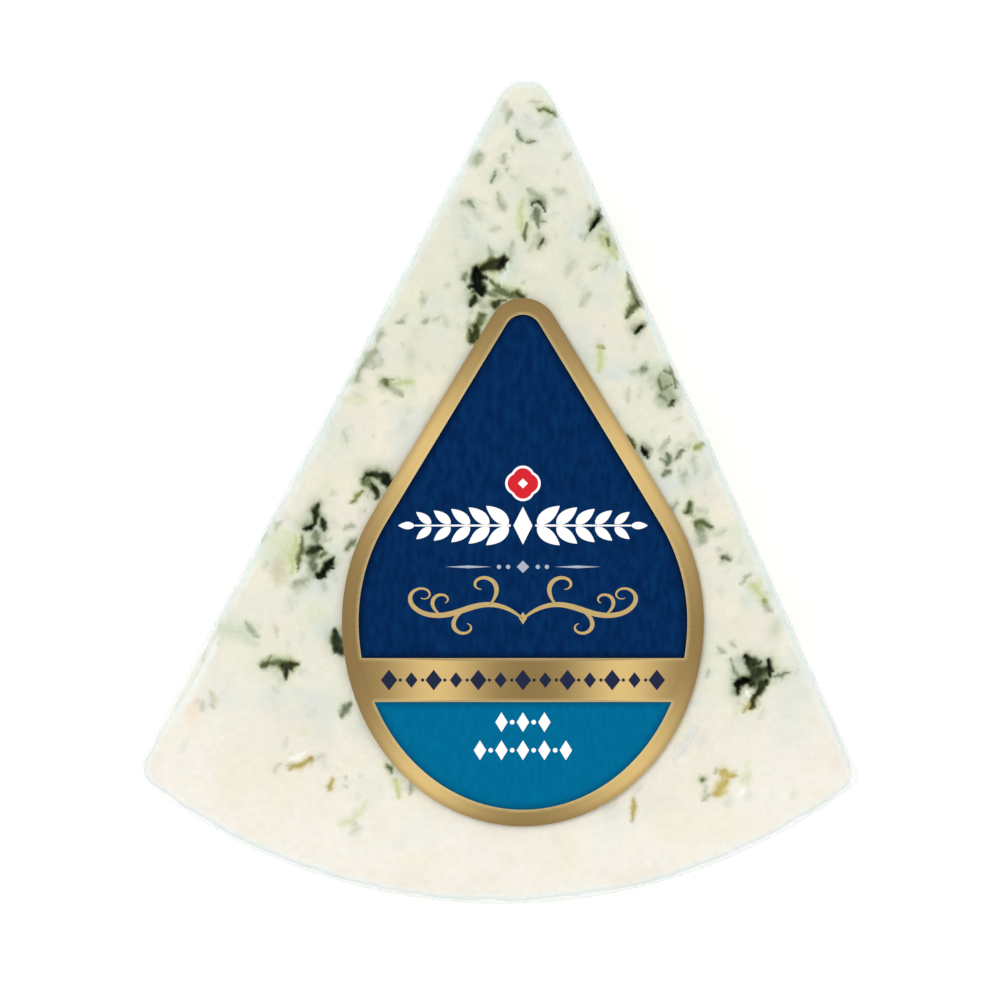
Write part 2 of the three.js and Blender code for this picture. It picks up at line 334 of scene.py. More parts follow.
def capFaces(loop, inner, first, firstInner):
    # fills a loop whose points are numbered from first, through inner points numbered from firstInner
    around = len(loop)
    return [tuple(first + i if i < around else firstInner + i - around for i in face)
            for face in fillLoops([loop], inner)]


def closeWall(wall, around, onFace, under, sizes):
    # closes rows of wall points with a face and an underside that go through the points given
    faces = []
    for low in range(0, len(wall) - around, around):
        for here in range(low, low + around):
            following = low + (here - low + 1) % around
            faces.append((here, following, following + around, here + around))
    faces += capFaces(wall[-around:, :2], onFace, len(wall) - around, len(wall))
    faces += [face[::-1] for face in capFaces(wall[:around, :2], under, 0, len(wall) + len(onFace))]
    corners = np.concatenate([wall, atHeight(onFace, sizes["top"]), atHeight(under, sizes["foot"])])
    return corners, faces


# Mould: what grows in the holes of the paste. Rim is the paler growth round a patch of it, soft says
# how gently the patch fades there, and halo is the faint mould that spreads from it.
moulds = {
    "black": {"colour": "050b01", "rim": "565f3a", "soft": 0.5, "halo": "sage"},
    "coal": {"colour": "141d0c", "rim": "636c48", "soft": 0.55, "halo": "sage"},
    "dark": {"colour": "323c22", "rim": "848c69", "soft": 0.7, "halo": "sage"},
    "umber": {"colour": "454a22", "rim": "979868", "soft": 0.65, "halo": "straw"},
    "moss": {"colour": "6a7449", "rim": "b3b992", "soft": 0.9, "halo": "straw"},
    "slate": {"colour": "7d8669", "rim": "bbc0a8", "soft": 1.0, "halo": "mint"},
    "sage": {"colour": "a3aa8e", "soft": 1.5},
    "fog": {"colour": "c6cabb", "soft": 1.6},
    "mint": {"colour": "d1d6bf", "soft": 1.6},
    "straw": {"colour": "dadcb9", "soft": 1.6},
    "lime": {"colour": "c6ca96", "rim": "dadcb9", "soft": 1.2},
    "olive": {"colour": "9a9c60", "rim": "c8c9a2", "soft": 0.9},
    "ochre": {"colour": "c8b46c", "rim": "dfd4b0", "soft": 0.7},
    "khaki": {"colour": "baa968", "rim": "e2dab4", "soft": 0.7},
    "tan": {"colour": "d2c8ac", "soft": 1.5},
    "peach": {"colour": "f2e0cb", "soft": 1.4},
    "pearl": {"colour": "e0e8da", "soft": 0.8},
    # a flake of paste that stands up, painted paler than the paste as a painted highlight on its lit top
    "flake": {"colour": "f4f5ec", "soft": 0.6},
}

# The main marks on the veined face, by place: mould, middle, length and width, turn from +X, how far
# the mark bends on its way, and how deep it goes. Below zero it is a flake that stands up.
marks = {
    "tip": [
        ("moss", (5.7, 46.0), (2.3, 0.5), -12, 10, 0.5),
        ("sage", (1.2, 45.4), (1.2, 0.6), 60, 0, 0),
        ("sage", (0.6, 40.1), (1.6, 0.6), 65, 0, 0),
        ("sage", (-2.6, 40.2), (1.4, 0.9), 80, 0, 0),
        ("slate", (2.6, 42.9), (1.5, 0.5), -60, 20, 0.2),
        ("slate", (3.8, 42.2), (1.2, 0.4), 0, 0, 0.2),
        ("slate", (-0.5, 37.9), (1.4, 0.5), 40, 60, 0.4),
        ("sage", (0.3, 35.0), (2.8, 0.6), -75, 0, 0),
        ("fog", (-2.9, 34.0), (2.4, 1.5), -65, 0, 0),
        ("slate", (-3.3, 34.8), (1.0, 0.4), -30, 0, 0),
        ("lime", (2.7, 33.4), (3.8, 1.0), 88, 0, 0),
        ("moss", (3.2, 31.4), (2.6, 0.4), 83, -15, 0.4),
        ("sage", (4.4, 35.9), (2.2, 0.4), -33, 0, 0),
        ("dark", (4.8, 35.0), (2.2, 0.45), 0, -150, 0.7),
        ("slate", (4.8, 33.1), (2.5, 0.8), -78, 0, 0.6),
        ("dark", (5.1, 30.1), (1.9, 0.45), 62, 0, 0.7),
    ],
    "slot": [
        ("umber", (-0.6, 27.3), (3.4, 1.3), 22, 20, 1.7),
        ("black", (0.5, 27.5), (1.8, 0.8), 48, 0, 1.8),
        ("black", (-2.4, 25.4), (3.7, 1.3), -80, 10, 2.3),
        ("dark", (-3.1, 23.0), (1.6, 0.7), 40, 0, 1.0),
        ("moss", (-0.4, 24.8), (2.2, 0.5), -45, 30, 0.7),
        ("slate", (-0.8, 23.9), (1.4, 0.7), -15, 0, 0.5),
        ("moss", (0.9, 24.0), (3.2, 1.0), -10, 0, 0.6),
        ("umber", (2.6, 23.7), (1.5, 0.6), -45, 0, 0.6),
        ("umber", (-0.2, 22.6), (1.3, 0.9), 50, 0, 0.8),
        ("moss", (-2.0, 20.7), (1.7, 0.8), 70, 0, 0.7),
        ("umber", (-2.9, 19.0), (2.5, 1.1), 70, 0, 1.0),
        ("pearl", (0.7, 26.2), (3.2, 0.8), 75, 0, -0.1),
        ("slate", (-4.0, 26.1), (1.2, 0.6), 80, 0, 0.3),
    ],
    "rightEdge": [
        ("black", (11.9, 32.7), (2.7, 0.65), 62, -8, 1.6),
        ("sage", (10.9, 31.0), (1.6, 0.35), 50, 0, 0),
        ("lime", (13.4, 29.6), (3.4, 1.3), -57, 0, 0.3),
        ("moss", (13.3, 30.3), (1.3, 0.5), -80, 0, 0.5),
        ("umber", (16.6, 24.1), (4.2, 1.1), -66, 0, 1.0),
        ("moss", (16.1, 21.9), (2.4, 0.7), 50, 0, 0.8),
        ("black", (16.9, 19.5), (1.5, 0.5), 47, 0, 1.2),
        ("olive", (12.5, 17.5), (0.7, 0.5), 0, 0, 0.1),
        ("lime", (12.2, 15.8), (3.4, 0.7), 82, 0, 0),
        ("sage", (20.3, 12.6), (3.6, 2.2), -62, 0, 0.3),
        ("moss", (19.4, 12.9), (1.8, 0.5), -70, 30, 0.4),
        ("moss", (21.4, 13.8), (2.2, 0.5), -72, -20, 0.4),
        ("moss", (20.5, 14.4), (1.2, 0.4), -20, 40, 0.3),
        ("moss", (20.3, 12.6), (1.5, 0.4), 35, 0, 0.3),
        ("slate", (19.9, 11.4), (1.3, 0.4), -40, 0, 0.3),
        ("dark", (20.9, 10.7), (1.0, 0.5), 45, 0, 0.6),
        ("slate", (17.5, 14.6), (0.9, 0.6), -20, 0, 0),
    ],
    "leftUpper": [
        ("sage", (-12.0, 20.5), (1.0, 0.5), 15, 0, 0.2),
        ("sage", (-8.7, 20.7), (0.9, 0.5), 20, 0, 0.2),
        ("sage", (-14.4, 18.6), (1.5, 0.7), 72, 0, 0),
        ("sage", (-15.7, 16.0), (2.6, 1.4), 52, 0, 0.2),
        ("sage", (-16.8, 14.2), (2.0, 0.9), 62, 0, 0.3),
        ("moss", (-13.7, 13.1), (0.9, 0.6), -80, 0, 0.6),
        ("lime", (-11.6, 13.0), (2.6, 0.6), 14, 0, 0),
        ("sage", (-12.4, 12.0), (2.0, 0.7), -35, 0, 0.2),
        ("straw", (-17.3, 11.0), (3.4, 0.9), -4, 0, 0),
    ],
    "left": [
        ("dark", (-14.8, 2.1), (3.6, 0.8), 3, -100, 1.2),
        ("coal", (-13.4, 1.1), (1.5, 1.1), -75, 0, 1.1),
        ("moss", (-16.0, 1.0), (1.2, 0.9), -30, 0, 0.6),
        ("dark", (-14.9, -0.1), (2.1, 0.6), -60, 0, 1.4),
        ("olive", (-17.1, -0.9), (2.1, 0.5), 35, 45, 0.6),
        ("dark", (-22.1, -2.9), (2.8, 0.75), 78, -10, 1.2),
        ("dark", (-21.2, -4.0), (1.4, 0.7), -88, 0, 0.9),
        ("coal", (-23.1, -4.5), (1.5, 0.75), 25, 0, 1.2),
        ("slate", (-22.2, -5.5), (1.5, 0.8), 88, 0, 0.3),
        ("straw", (-25.6, -7.8), (5.2, 2.4), 88, 0, 0),
        ("lime", (-24.8, -7.8), (4.8, 1.3), 86, 0, 0),
        ("moss", (-24.0, -7.5), (4.0, 0.6), 88, 0, 0.5),
        ("dark", (-22.4, -7.2), (1.7, 1.0), 0, 0, 1.2),
        ("slate", (-22.3, -8.7), (2.0, 0.9), 88, 0, 0.8),
        ("coal", (-20.9, -9.6), (3.1, 0.8), 52, 15, 1.5),
        ("moss", (-21.2, -7.7), (1.0, 0.6), 50, 0, 0.5),
        ("sage", (-24.2, -11.2), (1.8, 0.9), 10, 0, 0.3),
        ("tan", (-26.8, -9.8), (2.6, 1.8), 80, 0, 0),
        ("slate", (-18.0, -6.5), (1.8, 0.5), 55, -30, 0.4),
    ],
    "leftLower": [
        ("moss", (-28.3, -21.2), (1.4, 0.9), 10, 0, 0.8),
        ("moss", (-26.8, -20.9), (1.6, 0.75), 0, 0, 0.5),
        ("umber", (-25.4, -21.0), (2.4, 0.9), 10, 0, 1.2),
        ("dark", (-25.8, -21.8), (1.5, 0.7), -75, 0, 1.0),
        ("peach", (-37.3, -26.8), (2.4, 1.3), 80, 0, 0),
        ("tan", (-34.6, -25.0), (1.6, 0.6), -75, 0, 0),
        ("dark", (-19.4, -18.2), (3.0, 1.3), -72, 0, 1.0),
        ("slate", (-18.4, -26.6), (1.9, 0.6), 50, 0, 0.5),
        ("mint", (-31.6, -17.3), (4.6, 2.0), -25, 0, 0),
        ("sage", (-30.0, -16.9), (2.4, 0.5), -50, 20, 0),
        ("khaki", (-23.9, -33.2), (3.0, 1.0), 22, 35, 0.3),
        ("flake", (-24.2, -32.1), (1.9, 0.7), 28, 0, -0.1),
        ("khaki", (-20.3, -35.7), (1.7, 0.8), -88, 0, 0.2),
        ("straw", (-16.6, -38.6), (2.9, 0.7), 45, 0, 0),
        ("straw", (-18.7, -40.0), (1.8, 0.7), 20, 0, 0),
        ("moss", (-13.1, -33.6), (1.4, 0.5), -50, 0, 0.4),
        ("lime", (-12.2, -35.9), (2.4, 0.6), -75, 0, 0),
    ],
    "right": [
        ("moss", (16.0, 6.0), (2.2, 0.6), -55, 0, 0.7),
        ("black", (17.8, 4.7), (1.3, 0.55), -60, 0, 1.2),
        ("sage", (20.0, 5.6), (2.0, 0.5), 52, 0, 0),
        ("slate", (20.4, 3.7), (1.5, 0.7), 76, 0, 0.6),
        ("slate", (20.2, 2.2), (1.2, 0.7), 38, 0, 0.5),
        ("slate", (21.9, 4.5), (1.2, 0.5), 45, 0, 0.4),
        ("olive", (24.2, 5.3), (1.2, 0.8), 30, 0, 0),
        ("moss", (23.2, -2.0), (1.8, 0.7), 70, 100, 0.8),
        ("moss", (24.8, -4.0), (2.2, 0.65), -18, -20, 0.8),
        ("moss", (24.2, -4.6), (1.6, 0.6), -50, 40, 0.5),
        ("sage", (24.5, -5.6), (1.3, 1.1), -80, 0, 0.3),
        ("slate", (27.4, -8.2), (0.9, 0.8), 0, 0, 0.6),
        ("sage", (29.9, -10.6), (2.1, 0.4), 55, -20, 0),
        ("lime", (31.4, -12.2), (2.5, 1.0), -50, 0, 0),
        ("olive", (32.2, -13.4), (1.0, 0.5), -70, 0, 0.1),
    ],
    "star": [
        ("slate", (28.6, -21.6), (2.5, 0.45), -68, 10, 0.3),
        ("fog", (29.3, -21.3), (1.6, 1.0), -80, 0, 0),
        ("dark", (30.7, -21.0), (2.4, 1.2), -62, 0, 1.4),
        ("dark", (31.1, -22.4), (2.6, 1.6), 60, 0, 1.4),
        ("black", (29.6, -23.2), (1.6, 1.1), 10, 0, 2.2),
        ("black", (29.0, -24.2), (1.2, 0.6), 72, 0, 1.2),
        ("dark", (31.8, -23.6), (2.3, 1.1), 60, 0, 1.4),
        ("coal", (32.9, -21.7), (2.3, 0.55), -88, -12, 1.3),
        ("umber", (31.0, -25.3), (2.2, 0.8), 68, 0, 1.0),
        ("khaki", (30.2, -26.2), (1.5, 0.6), 55, 0, 0.2),
        ("flake", (30.3, -24.7), (1.1, 0.6), -50, 0, -0.1),
        ("slate", (34.2, -22.4), (2.6, 0.4), 17, -15, 0.3),
        ("ochre", (27.8, -34.3), (1.7, 1.2), -15, 0, 0.3),
        ("ochre", (27.0, -35.9), (2.3, 1.3), 55, 0, 0.3),
        ("straw", (29.9, -34.8), (1.2, 0.8), 60, 0, 0),
        ("flake", (29.3, -36.5), (1.6, 0.5), 40, 0, -0.1),
        ("moss", (24.7, -35.2), (0.6, 0.4), 80, 0, 0.2),
        ("khaki", (16.4, -38.6), (2.7, 0.55), 84, 0, 0.2),
    ],
}

# How a mark grows: its line wavers, thins out at both ends, puts out side shoots and has a pale halo.
# Faint small marks, the satellites, stand round it.
growth = {
    "seed": 5,
    "steps": 7,
    "waver": 0.12,  # share of the width
    "endWidth": 0.3,
    "fullness": 0.7,  # the lower, the longer a mark keeps its width
    "unevenWidth": (0.85, 1.15),
    "shootsBelow": 0.4,  # mm deep
    "shoots": 3,
    "shootTurn": (35, 80),
    "shootBase": 0.5,  # mm, added to the mark's width
    "shootReach": (0.4, 0.8),  # shares of the two
    "shootStrength": 0.8,
    "shootWidths": (0.5, 0.2),  # shares of the mark's width
    "shootDepth": 0.5,
    "haloStrength": 0.5,
    "haloReach": (0.8, 1.1),
    "haloShift": (-0.25, 0.3),
    "satellites": (1, 5),
    "satelliteSpread": 0.5,
    "satelliteLength": (0.5, 1.6),
    "satelliteTurn": (-50, 50),
    "satelliteBend": (-60, 60),
    "satelliteWidths": (0.2, 0.5, 0.2),  # shares of its length
    "satelliteStrength": (0.25, 0.6),
    "pale": ("sage", "sage", "fog", "slate", "fog", "straw"),
}

# The solid's own pockets in the cut walls: they come from the same draws as there. A pair gives the
# least and how much a draw adds to it.
wallPockets = {
    "seed": 7,
    "drawsBefore": 39 * 11,  # for the pockets of the veined face
    "drawsEach": 11,
    "count": 13,
    "margin": 4.5,
    "apart": 6.5,
    "far": (0.12, 0.76),  # share of the cut edge
    "turn": (-90, 180),
    "length": (2.4, 3.2),
    "slimness": (0.35, 0.3),
    "deep": (1.2, 0.3),  # mm, and more by this share of the length
    "mouldWidth": 0.75,  # share of the pocket's width
    "moulds": ("black", "coal", "dark", "umber", "coal", "moss"),
}

# Marks for the faces that carry no named ones.
looseMarks = {
    "length": (0.9, 3.6),
    "slimness": (0.25, 0.5),
    "turn": (35, 110),
    "bend": (-70, 70),
    "deep": (0, 1.2),
    "moulds": ("dark", "moss", "slate", "umber", "olive", "sage", "moss", "coal"),
}

# The faint specks and clouds between the marks.
specks = {
    "length": (0.5, 2.0),
    "slimness": (0.3, 0.7),
    "turn": (35, 110),
    "bend": (-60, 60),
    "widths": (0.4, 1, 0.4),  # shares of the widest
    "strength": (0.25, 0.6),
    "moulds": ("fog", "fog", "mint", "sage", "straw", "mint", "sage"),
    "cloudShare": 0.4,
    "cloudReach": (0.9, 3.0),
    "cloudSlimness": (0.4, 0.8),
    "cloudStrength": (0.15, 0.4),
    "cloudMoulds": ("fog", "mint", "sage", "straw", "straw", "fog"),
}

# Marks and specks thin out towards the rind on the face, and away from the tip on the cut walls:
# the share that stays at the thinnest, and at what distances the thinnest and the thickest are.
spread = {
    "face": (0.05, 8, 42),
    "walls": (0.25, 96, 62),
    "fromEdge": 0.6,
    "fromTip": 3,
    "mostRind": 0.1,
}


def pickOne(random, choices):
    return choices[random.integers(len(choices))]


def markSpine(at, length, turn, bend):
    # points along an arc whose middle lies at the place given
    headings = np.radians(turn + bend * np.linspace(-0.5, 0.5, growth["steps"]))
    hops = np.column_stack([np.cos(headings), np.sin(headings)]) * length / (growth["steps"] - 1)
    spine = np.cumsum(hops, axis=0)
    return spine - spine[growth["steps"] // 2] + at


def seededDraws(seed, factor=1664525, step=1013904223, states=2 ** 32):
    # the draws of the solid's own source
    state = seed
    while True:
        state = (state * factor + step) % states
        yield state / states


def pocketMarks(outline):
    # the solid's wall pockets as marks, by their way round the outline and their height
    draws = seededDraws(wallPockets["seed"])

    def draw(least, more):
        return least + more * next(draws)

    def skip(count):
        for _ in range(count):
            next(draws)

    skip(wallPockets["drawsBefore"])
    margin = wallPockets["margin"]
    found = []
    for side, corner in ((-1, wedge["leftCorner"]), (1, wedge["rightCorner"])):
        edge = cutEdge(side, 0, corner)
        placed = []
        while len(placed) < wallPockets["count"]:
            far = draw(*wallPockets["far"]) * edge["length"]
            height = draw(margin, wedge["thickness"] - 2 * margin)
            if any(math.hypot(far - x, height - y) < wallPockets["apart"] for x, y in placed):
                continue
            placed.append((far, height))
            turn = draw(*wallPockets["turn"])
            length = draw(*wallPockets["length"])
            width = length * draw(*wallPockets["slimness"])
            skip(wallPockets["drawsEach"])
            away = np.linalg.norm(outline["spots"] - cutEdgesMeet - edge["along"] * far, axis=1)
            place = (outline["along"][np.argmin(away)], height)
            size = (length, width * wallPockets["mouldWidth"])
            mould = wallPockets["moulds"][len(found) % len(wallPockets["moulds"])]
            shallow, deeper = wallPockets["deep"]
            found.append((mould, place, size, turn, 0, shallow + deeper * length))
    return found


def scatterMarks(places, seed):
    random = np.random.default_rng(seed)
    found = []
    for place in places:
        length = random.uniform(*looseMarks["length"])
        size = (length, length * random.uniform(*looseMarks["slimness"]))
        turn = random.uniform(*looseMarks["turn"])
        bend = random.uniform(*looseMarks["bend"])
        mould = pickOne(random, looseMarks["moulds"])
        found.append((mould, place, size, turn, bend, random.uniform(*looseMarks["deep"])))
    return found


# A vein is its mould, how much of it there is, its widths, how deep its hole goes, and its way.
# A bloom is a soft patch: mould, how much of it, middle, reach along and across, and turn.

def growSatellites(random, at, length, turn):
    grown = []
    for _ in range(random.integers(*growth["satellites"])):
        place = at + random.normal(0, growth["satelliteSpread"] * length + growth["satelliteSpread"], 2)
        size = random.uniform(*growth["satelliteLength"])
        turned = turn + random.uniform(*growth["satelliteTurn"])
        spine = markSpine(place, size, turned, random.uniform(*growth["satelliteBend"]))
        pale = pickOne(random, growth["pale"])
        widths = [share * size for share in growth["satelliteWidths"]]
        grown.append((pale, random.uniform(*growth["satelliteStrength"]), widths, 0, *spine))
    return grown


def growShoots(random, most, vein, spine, width, turn):
    # short side strokes of the vein given
    mould, _, _, deep, *_ = vein
    grown = []
    for _ in range(random.integers(0, 1 + most)):
        start = spine[random.integers(1, growth["steps"] - 1)]
        angle = math.radians(turn + random.choice((-1, 1)) * random.uniform(*growth["shootTurn"]))
        reach = random.uniform(*growth["shootReach"]) * (growth["shootBase"] + width)
        end = start + reach * np.array([math.cos(angle), math.sin(angle)])
        widths = [share * width for share in growth["shootWidths"]]
        grown.append((mould, growth["shootStrength"], widths, growth["shootDepth"] * deep, start, end))
    return grown


def growVeins(roots, seed):
    random = np.random.default_rng(seed)
    swell = np.sin(np.linspace(0, math.pi, growth["steps"])) ** growth["fullness"]
    satellites = []
    veins = []
    blooms = []
    for mould, at, (length, width), turn, bend, deep in roots:
        satellites += growSatellites(random, at, length, turn)
        spine = markSpine(at, length, turn, bend)
        spine = spine + random.uniform(-1, 1, spine.shape) * growth["waver"] * width
        widths = width * (growth["endWidth"] + (1 - growth["endWidth"]) * swell)
        widths = widths * random.uniform(*growth["unevenWidth"], growth["steps"])
        vein = (mould, 1, widths, deep, *spine)
        veins.append(vein)
        if deep > growth["shootsBelow"]:
            most = min(growth["shoots"], round(length))
            veins += growShoots(random, most, vein, spine, width, turn)
        if "halo" in moulds[mould]:
            size = (length / 2 + growth["haloReach"][0], width / 2 + growth["haloReach"][1])
            place = np.add(at, growth["haloShift"])
            blooms.append((moulds[mould]["halo"], growth["haloStrength"], place, size, turn))
    return satellites + veins, blooms


def likelihood(zone, distance):
    least, thinnest, thickest = spread[zone]
    return least + (1 - least) * ease(thinnest, thickest, distance)


def spreadOnFace(loop, tries, seed):
    # random places inside a loop, fewer towards the rind
    random = np.random.default_rng(seed)
    places = random.uniform(loop.min(axis=0), loop.max(axis=0), (tries, 2))
    fromRind = wedge["rindRadius"] - np.linalg.norm(places - rindCentre, axis=1)
    kept = depthInside(places, [loop]) > spread["fromEdge"]
    kept &= random.random(tries) < likelihood("face", fromRind)
    return places[kept]


def spreadOnWalls(outline, tries, seed):
    # random places on the cut walls, by their way round the outline and their height
    random = np.random.default_rng(seed)
    total = outline["along"].max()
    margin = spread["fromTip"]
    places = random.uniform((margin, 0), (total - margin, wedge["thickness"]), (tries, 2))
    rind = np.interp(places[:, 0], outline["along"], outline["rind"])
    fromTip = np.minimum(places[:, 0], total - places[:, 0])
    likely = (rind < spread["mostRind"]) * likelihood("walls", fromTip)
    return places[random.random(tries) < likely]


def scatterSpecks(places, seed):
    random = np.random.default_rng(seed)
    veins = []
    for place in places:
        length = random.uniform(*specks["length"])
        width = length * random.uniform(*specks["slimness"])
        turn = random.uniform(*specks["turn"])
        spine = markSpine(place, length, turn, random.uniform(*specks["bend"]))
        mould = pickOne(random, specks["moulds"])
        widths = [share * width for share in specks["widths"]]
        veins.append((mould, random.uniform(*specks["strength"]), widths, 0, *spine))
    blooms = []
    for place in places[:round(specks["cloudShare"] * len(places))]:
        reach = random.uniform(*specks["cloudReach"])
        mould = pickOne(random, specks["cloudMoulds"])
        size = (reach, reach * random.uniform(*specks["cloudSlimness"]))
        strength = random.uniform(*specks["cloudStrength"])
        blooms.append((mould, strength, place, size, random.uniform(*specks["turn"])))
    return veins, blooms


def growMould(roots, places, seed):
    # all the mould of a face: faint specks at the places first, then the veins that grow from the roots
    faint, clouds = scatterSpecks(places, seed)
    veins, blooms = growVeins(roots, seed)
    return faint + veins, clouds + blooms


def strokeReach(places, widths, path):
    # how far a place lies from a stroke, counted in half its width there
    path = [np.array(point) for point in path]
    nearest = np.full(len(places), np.inf)
    steps = np.linspace(0, len(path) - 1, len(widths))
    for index, (start, end) in enumerate(zip(path, path[1:])):
        side = end - start
        share = np.clip(((places - start) @ side) / (side @ side), 0, 1)
        distance = np.linalg.norm(places - start - share[:, None] * side, axis=1)
        nearest = np.minimum(nearest, distance / (np.interp(index + share, steps, widths) / 2))
    return nearest


# The noises that make mould uneven: the level each is added to, and its layers.
unevenness = {
    "wanderX": (0, [(0.22, 1.2, 1), (0.12, 0.45, 3)]),  # shifts the marks sideways, in mm
    "wanderY": (0, [(0.22, 1.2, 2), (0.12, 0.45, 4)]),
    "ragged": (0, [(0.3, 0.6, 5), (0.22, 0.27, 6)]),  # frays their edges
    "patchy": (1, [(0.4, 1.5, 7), (0.25, 0.6, 8)]),  # makes rims and blooms come and go
    "swell": (1, [(0.38, 1.7, 9)]),  # makes them wider and narrower
    "blotch": (0.25, [(1, 0.8, 10), (0.5, 0.35, 11)]),  # thins the mould in spots
}

# How mould lies on the paste. A reach is where it starts and where it is full, from the middle of a
# mark in half widths, or for the rim from its edge in mm. A box is how far from a mark it is looked for.
laying = {
    "bloomFall": 1.6,
    "bloomBox": 2,
    "rimStrength": 0.6,
    "rimReach": (0.62, -0.1),
    # the rim sits a little higher than its mark: painted shading, so a mark fades softly on its upper
    # side and ends sharp below
    "rimShadeShift": (0, 0.12),
    "rimBox": (0.55, 0.9),  # share of the width, and mm
    "markBox": 1.6,
    "thinnest": 0.3,
    "thinnedByBlotch": 0.5,
    "thinReach": (0.3, 1.0),
    "holeReach": (1.15, 0.35),
    "flakeReach": (1.1, 0.3),
    "flakeAbove": 0.1,  # mm deep: no flake stands in a deeper hole
    "fray": 0.5,
    "mouldyTone": (1.3, 1.4),  # how mouldy a tone counts: the first, less its lightness by the second
    "leastMouldy": 0.1,
}


def bloomCover(spots, middle, size, turn):
    # how much of a bloom lies at each spot, from 1 in its middle
    angle = math.radians(turn)
    away = spots - middle
    along = (away[:, 0] * math.cos(angle) + away[:, 1] * math.sin(angle)) / size[0]
    across = (away[:, 1] * math.cos(angle) - away[:, 0] * math.sin(angle)) / size[1]
    return np.exp(-laying["bloomFall"] * (along ** 2 + across ** 2))


def markTone(mould, reach, blotch):
    # the mould's colour, thinned out towards the mark's edge, more in some spots than in others
    tone = hexChannels(moulds[mould]["colour"])
    if "rim" not in moulds[mould]:
        return tone
    mixed = laying["thinnest"] + laying["thinnedByBlotch"] * blotch
    mixed = (mixed * ease(*laying["thinReach"], reach))[:, None]
    return tone * (1 - mixed) + hexChannels(moulds[mould]["rim"]) * mixed


def paintMould(places, veins, blooms, colours, seed, fade):
    # lays the mould over the colours and returns the colours, how mouldy each place is and how deep
    noise = {name: layeredNoise(places, layers, seed, level)
             for name, (level, layers) in unevenness.items()}
    spots = places + np.stack([noise["wanderX"], noise["wanderY"]], axis=1)
    ragged = noise["ragged"]
    patchy = noise["patchy"]
    blotch = np.clip(noise["blotch"], 0, 1)
    colours = colours.copy()
    mouldy = np.zeros(len(places))
    deep = np.zeros(len(places))

    def lay(tone, rows, cover):
        cover = np.clip(cover, 0, 1) * fade[rows]
        colours[rows] = colours[rows] * (1 - cover[:, None]) + tone * cover[:, None]
        most, byLightness = laying["mouldyTone"]
        dark = np.clip(most - byLightness * np.mean(tone, axis=-1), laying["leastMouldy"], 1)
        mouldy[rows] = 1 - (1 - mouldy[rows]) * (1 - cover * dark)

    def rowsNear(path, margin):
        low = np.min(path, axis=0) - margin
        high = np.max(path, axis=0) + margin
        return np.nonzero(((spots > low) & (spots < high)).all(axis=1))[0]

    for mould, strength, middle, size, turn in blooms:
        rows = rowsNear([middle], laying["bloomBox"] * max(size))
        cover = strength * bloomCover(spots[rows], middle, size, turn)
        lay(hexChannels(moulds[mould]["colour"]), rows, cover * patchy[rows])
    for mould, strength, widths, _, *path in veins:
        if "rim" in moulds[mould]:
            widest = max(widths)
            share, margin = laying["rimBox"]
            rows = rowsNear(path, share * widest + margin)
            away = (strokeReach(spots[rows] - laying["rimShadeShift"], widths, path) - 1) * widest / 2
            cover = ease(*laying["rimReach"], away + laying["fray"] * ragged[rows])
            cover = laying["rimStrength"] * strength * cover * patchy[rows]
            lay(hexChannels(moulds[mould]["rim"]), rows, cover)
    for mould, strength, widths, hole, *path in veins:
        rows = rowsNear(path, laying["markBox"] * max(widths))
        reach = strokeReach(spots[rows], widths, path) / noise["swell"][rows]
        soft = moulds[mould]["soft"]
        cover = strength * ease(1 + soft, 1 - soft, reach + ragged[rows])
        lay(markTone(mould, reach, blotch[rows]), rows, cover)
        if hole > 0:
            dug = hole * ease(*laying["holeReach"], reach + laying["fray"] * ragged[rows]) * fade[rows]
            deep[rows] = np.maximum(deep[rows], dug)
        elif hole < 0:
            level = deep[rows] < laying["flakeAbove"]
            deep[rows] += hole * ease(*laying["flakeReach"], reach) * level * fade[rows]
    return colours, mouldy, deep


# The paste under the mould: greyer and greener by the tip, creamier towards the rind.
paste = {
    "tip": "e0ddcb",
    "middle": "e8e3d3",
    "rind": "f2eadf",
    "cool": "d7dbd4",
    "green": "dde0ca",
    "pink": "ecdfd2",
    "cream": "efe6d1",
    "edgeHighlight": "f3fbfb",  # painted highlight along the upper edge, against the shade of its rounding
}

# From where to where each comes in, in mm from the rind.
pasteFromRind = {"tip": (40, 72), "rind": (24, 5), "mottle": (3, 20)}

# tone, how much, lump size in mm, from which level of the noise, and whether it keeps off the rind
mottle = [
    ("cool", 0.8, 4.4, 0.05, True),
    ("pink", 0.45, 5.2, 0.1, False),
    ("green", 0.7, 3.4, 0.15, True),
    ("cream", 0.6, 3.8, 0.1, False),
    ("cool", 0.6, 1.7, 0.25, True),
    ("pink", 0.45, 1.9, 0.25, False),
]
mottleSpan = 0.75


def pasteColours(places, seed):
    fromRind = wedge["rindRadius"] - np.linalg.norm(places[:, :2] - rindCentre, axis=1)
    colours = np.tile(hexChannels(paste["middle"]), (len(places), 1))
    mixes = [(tone, ease(*pasteFromRind[tone], fromRind)) for tone in ("tip", "rind")]
    offRind = ease(*pasteFromRind["mottle"], fromRind)
    for order, (tone, most, lump, level, keepsOff) in enumerate(mottle):
        share = most * ease(level, level + mottleSpan, roughNoise(places, lump, seed + order))
        mixes.append((tone, share * offRind if keepsOff else share))
    for tone, share in mixes:
        colours = colours * (1 - share[:, None]) + hexChannels(paste[tone]) * share[:, None]
    return colours


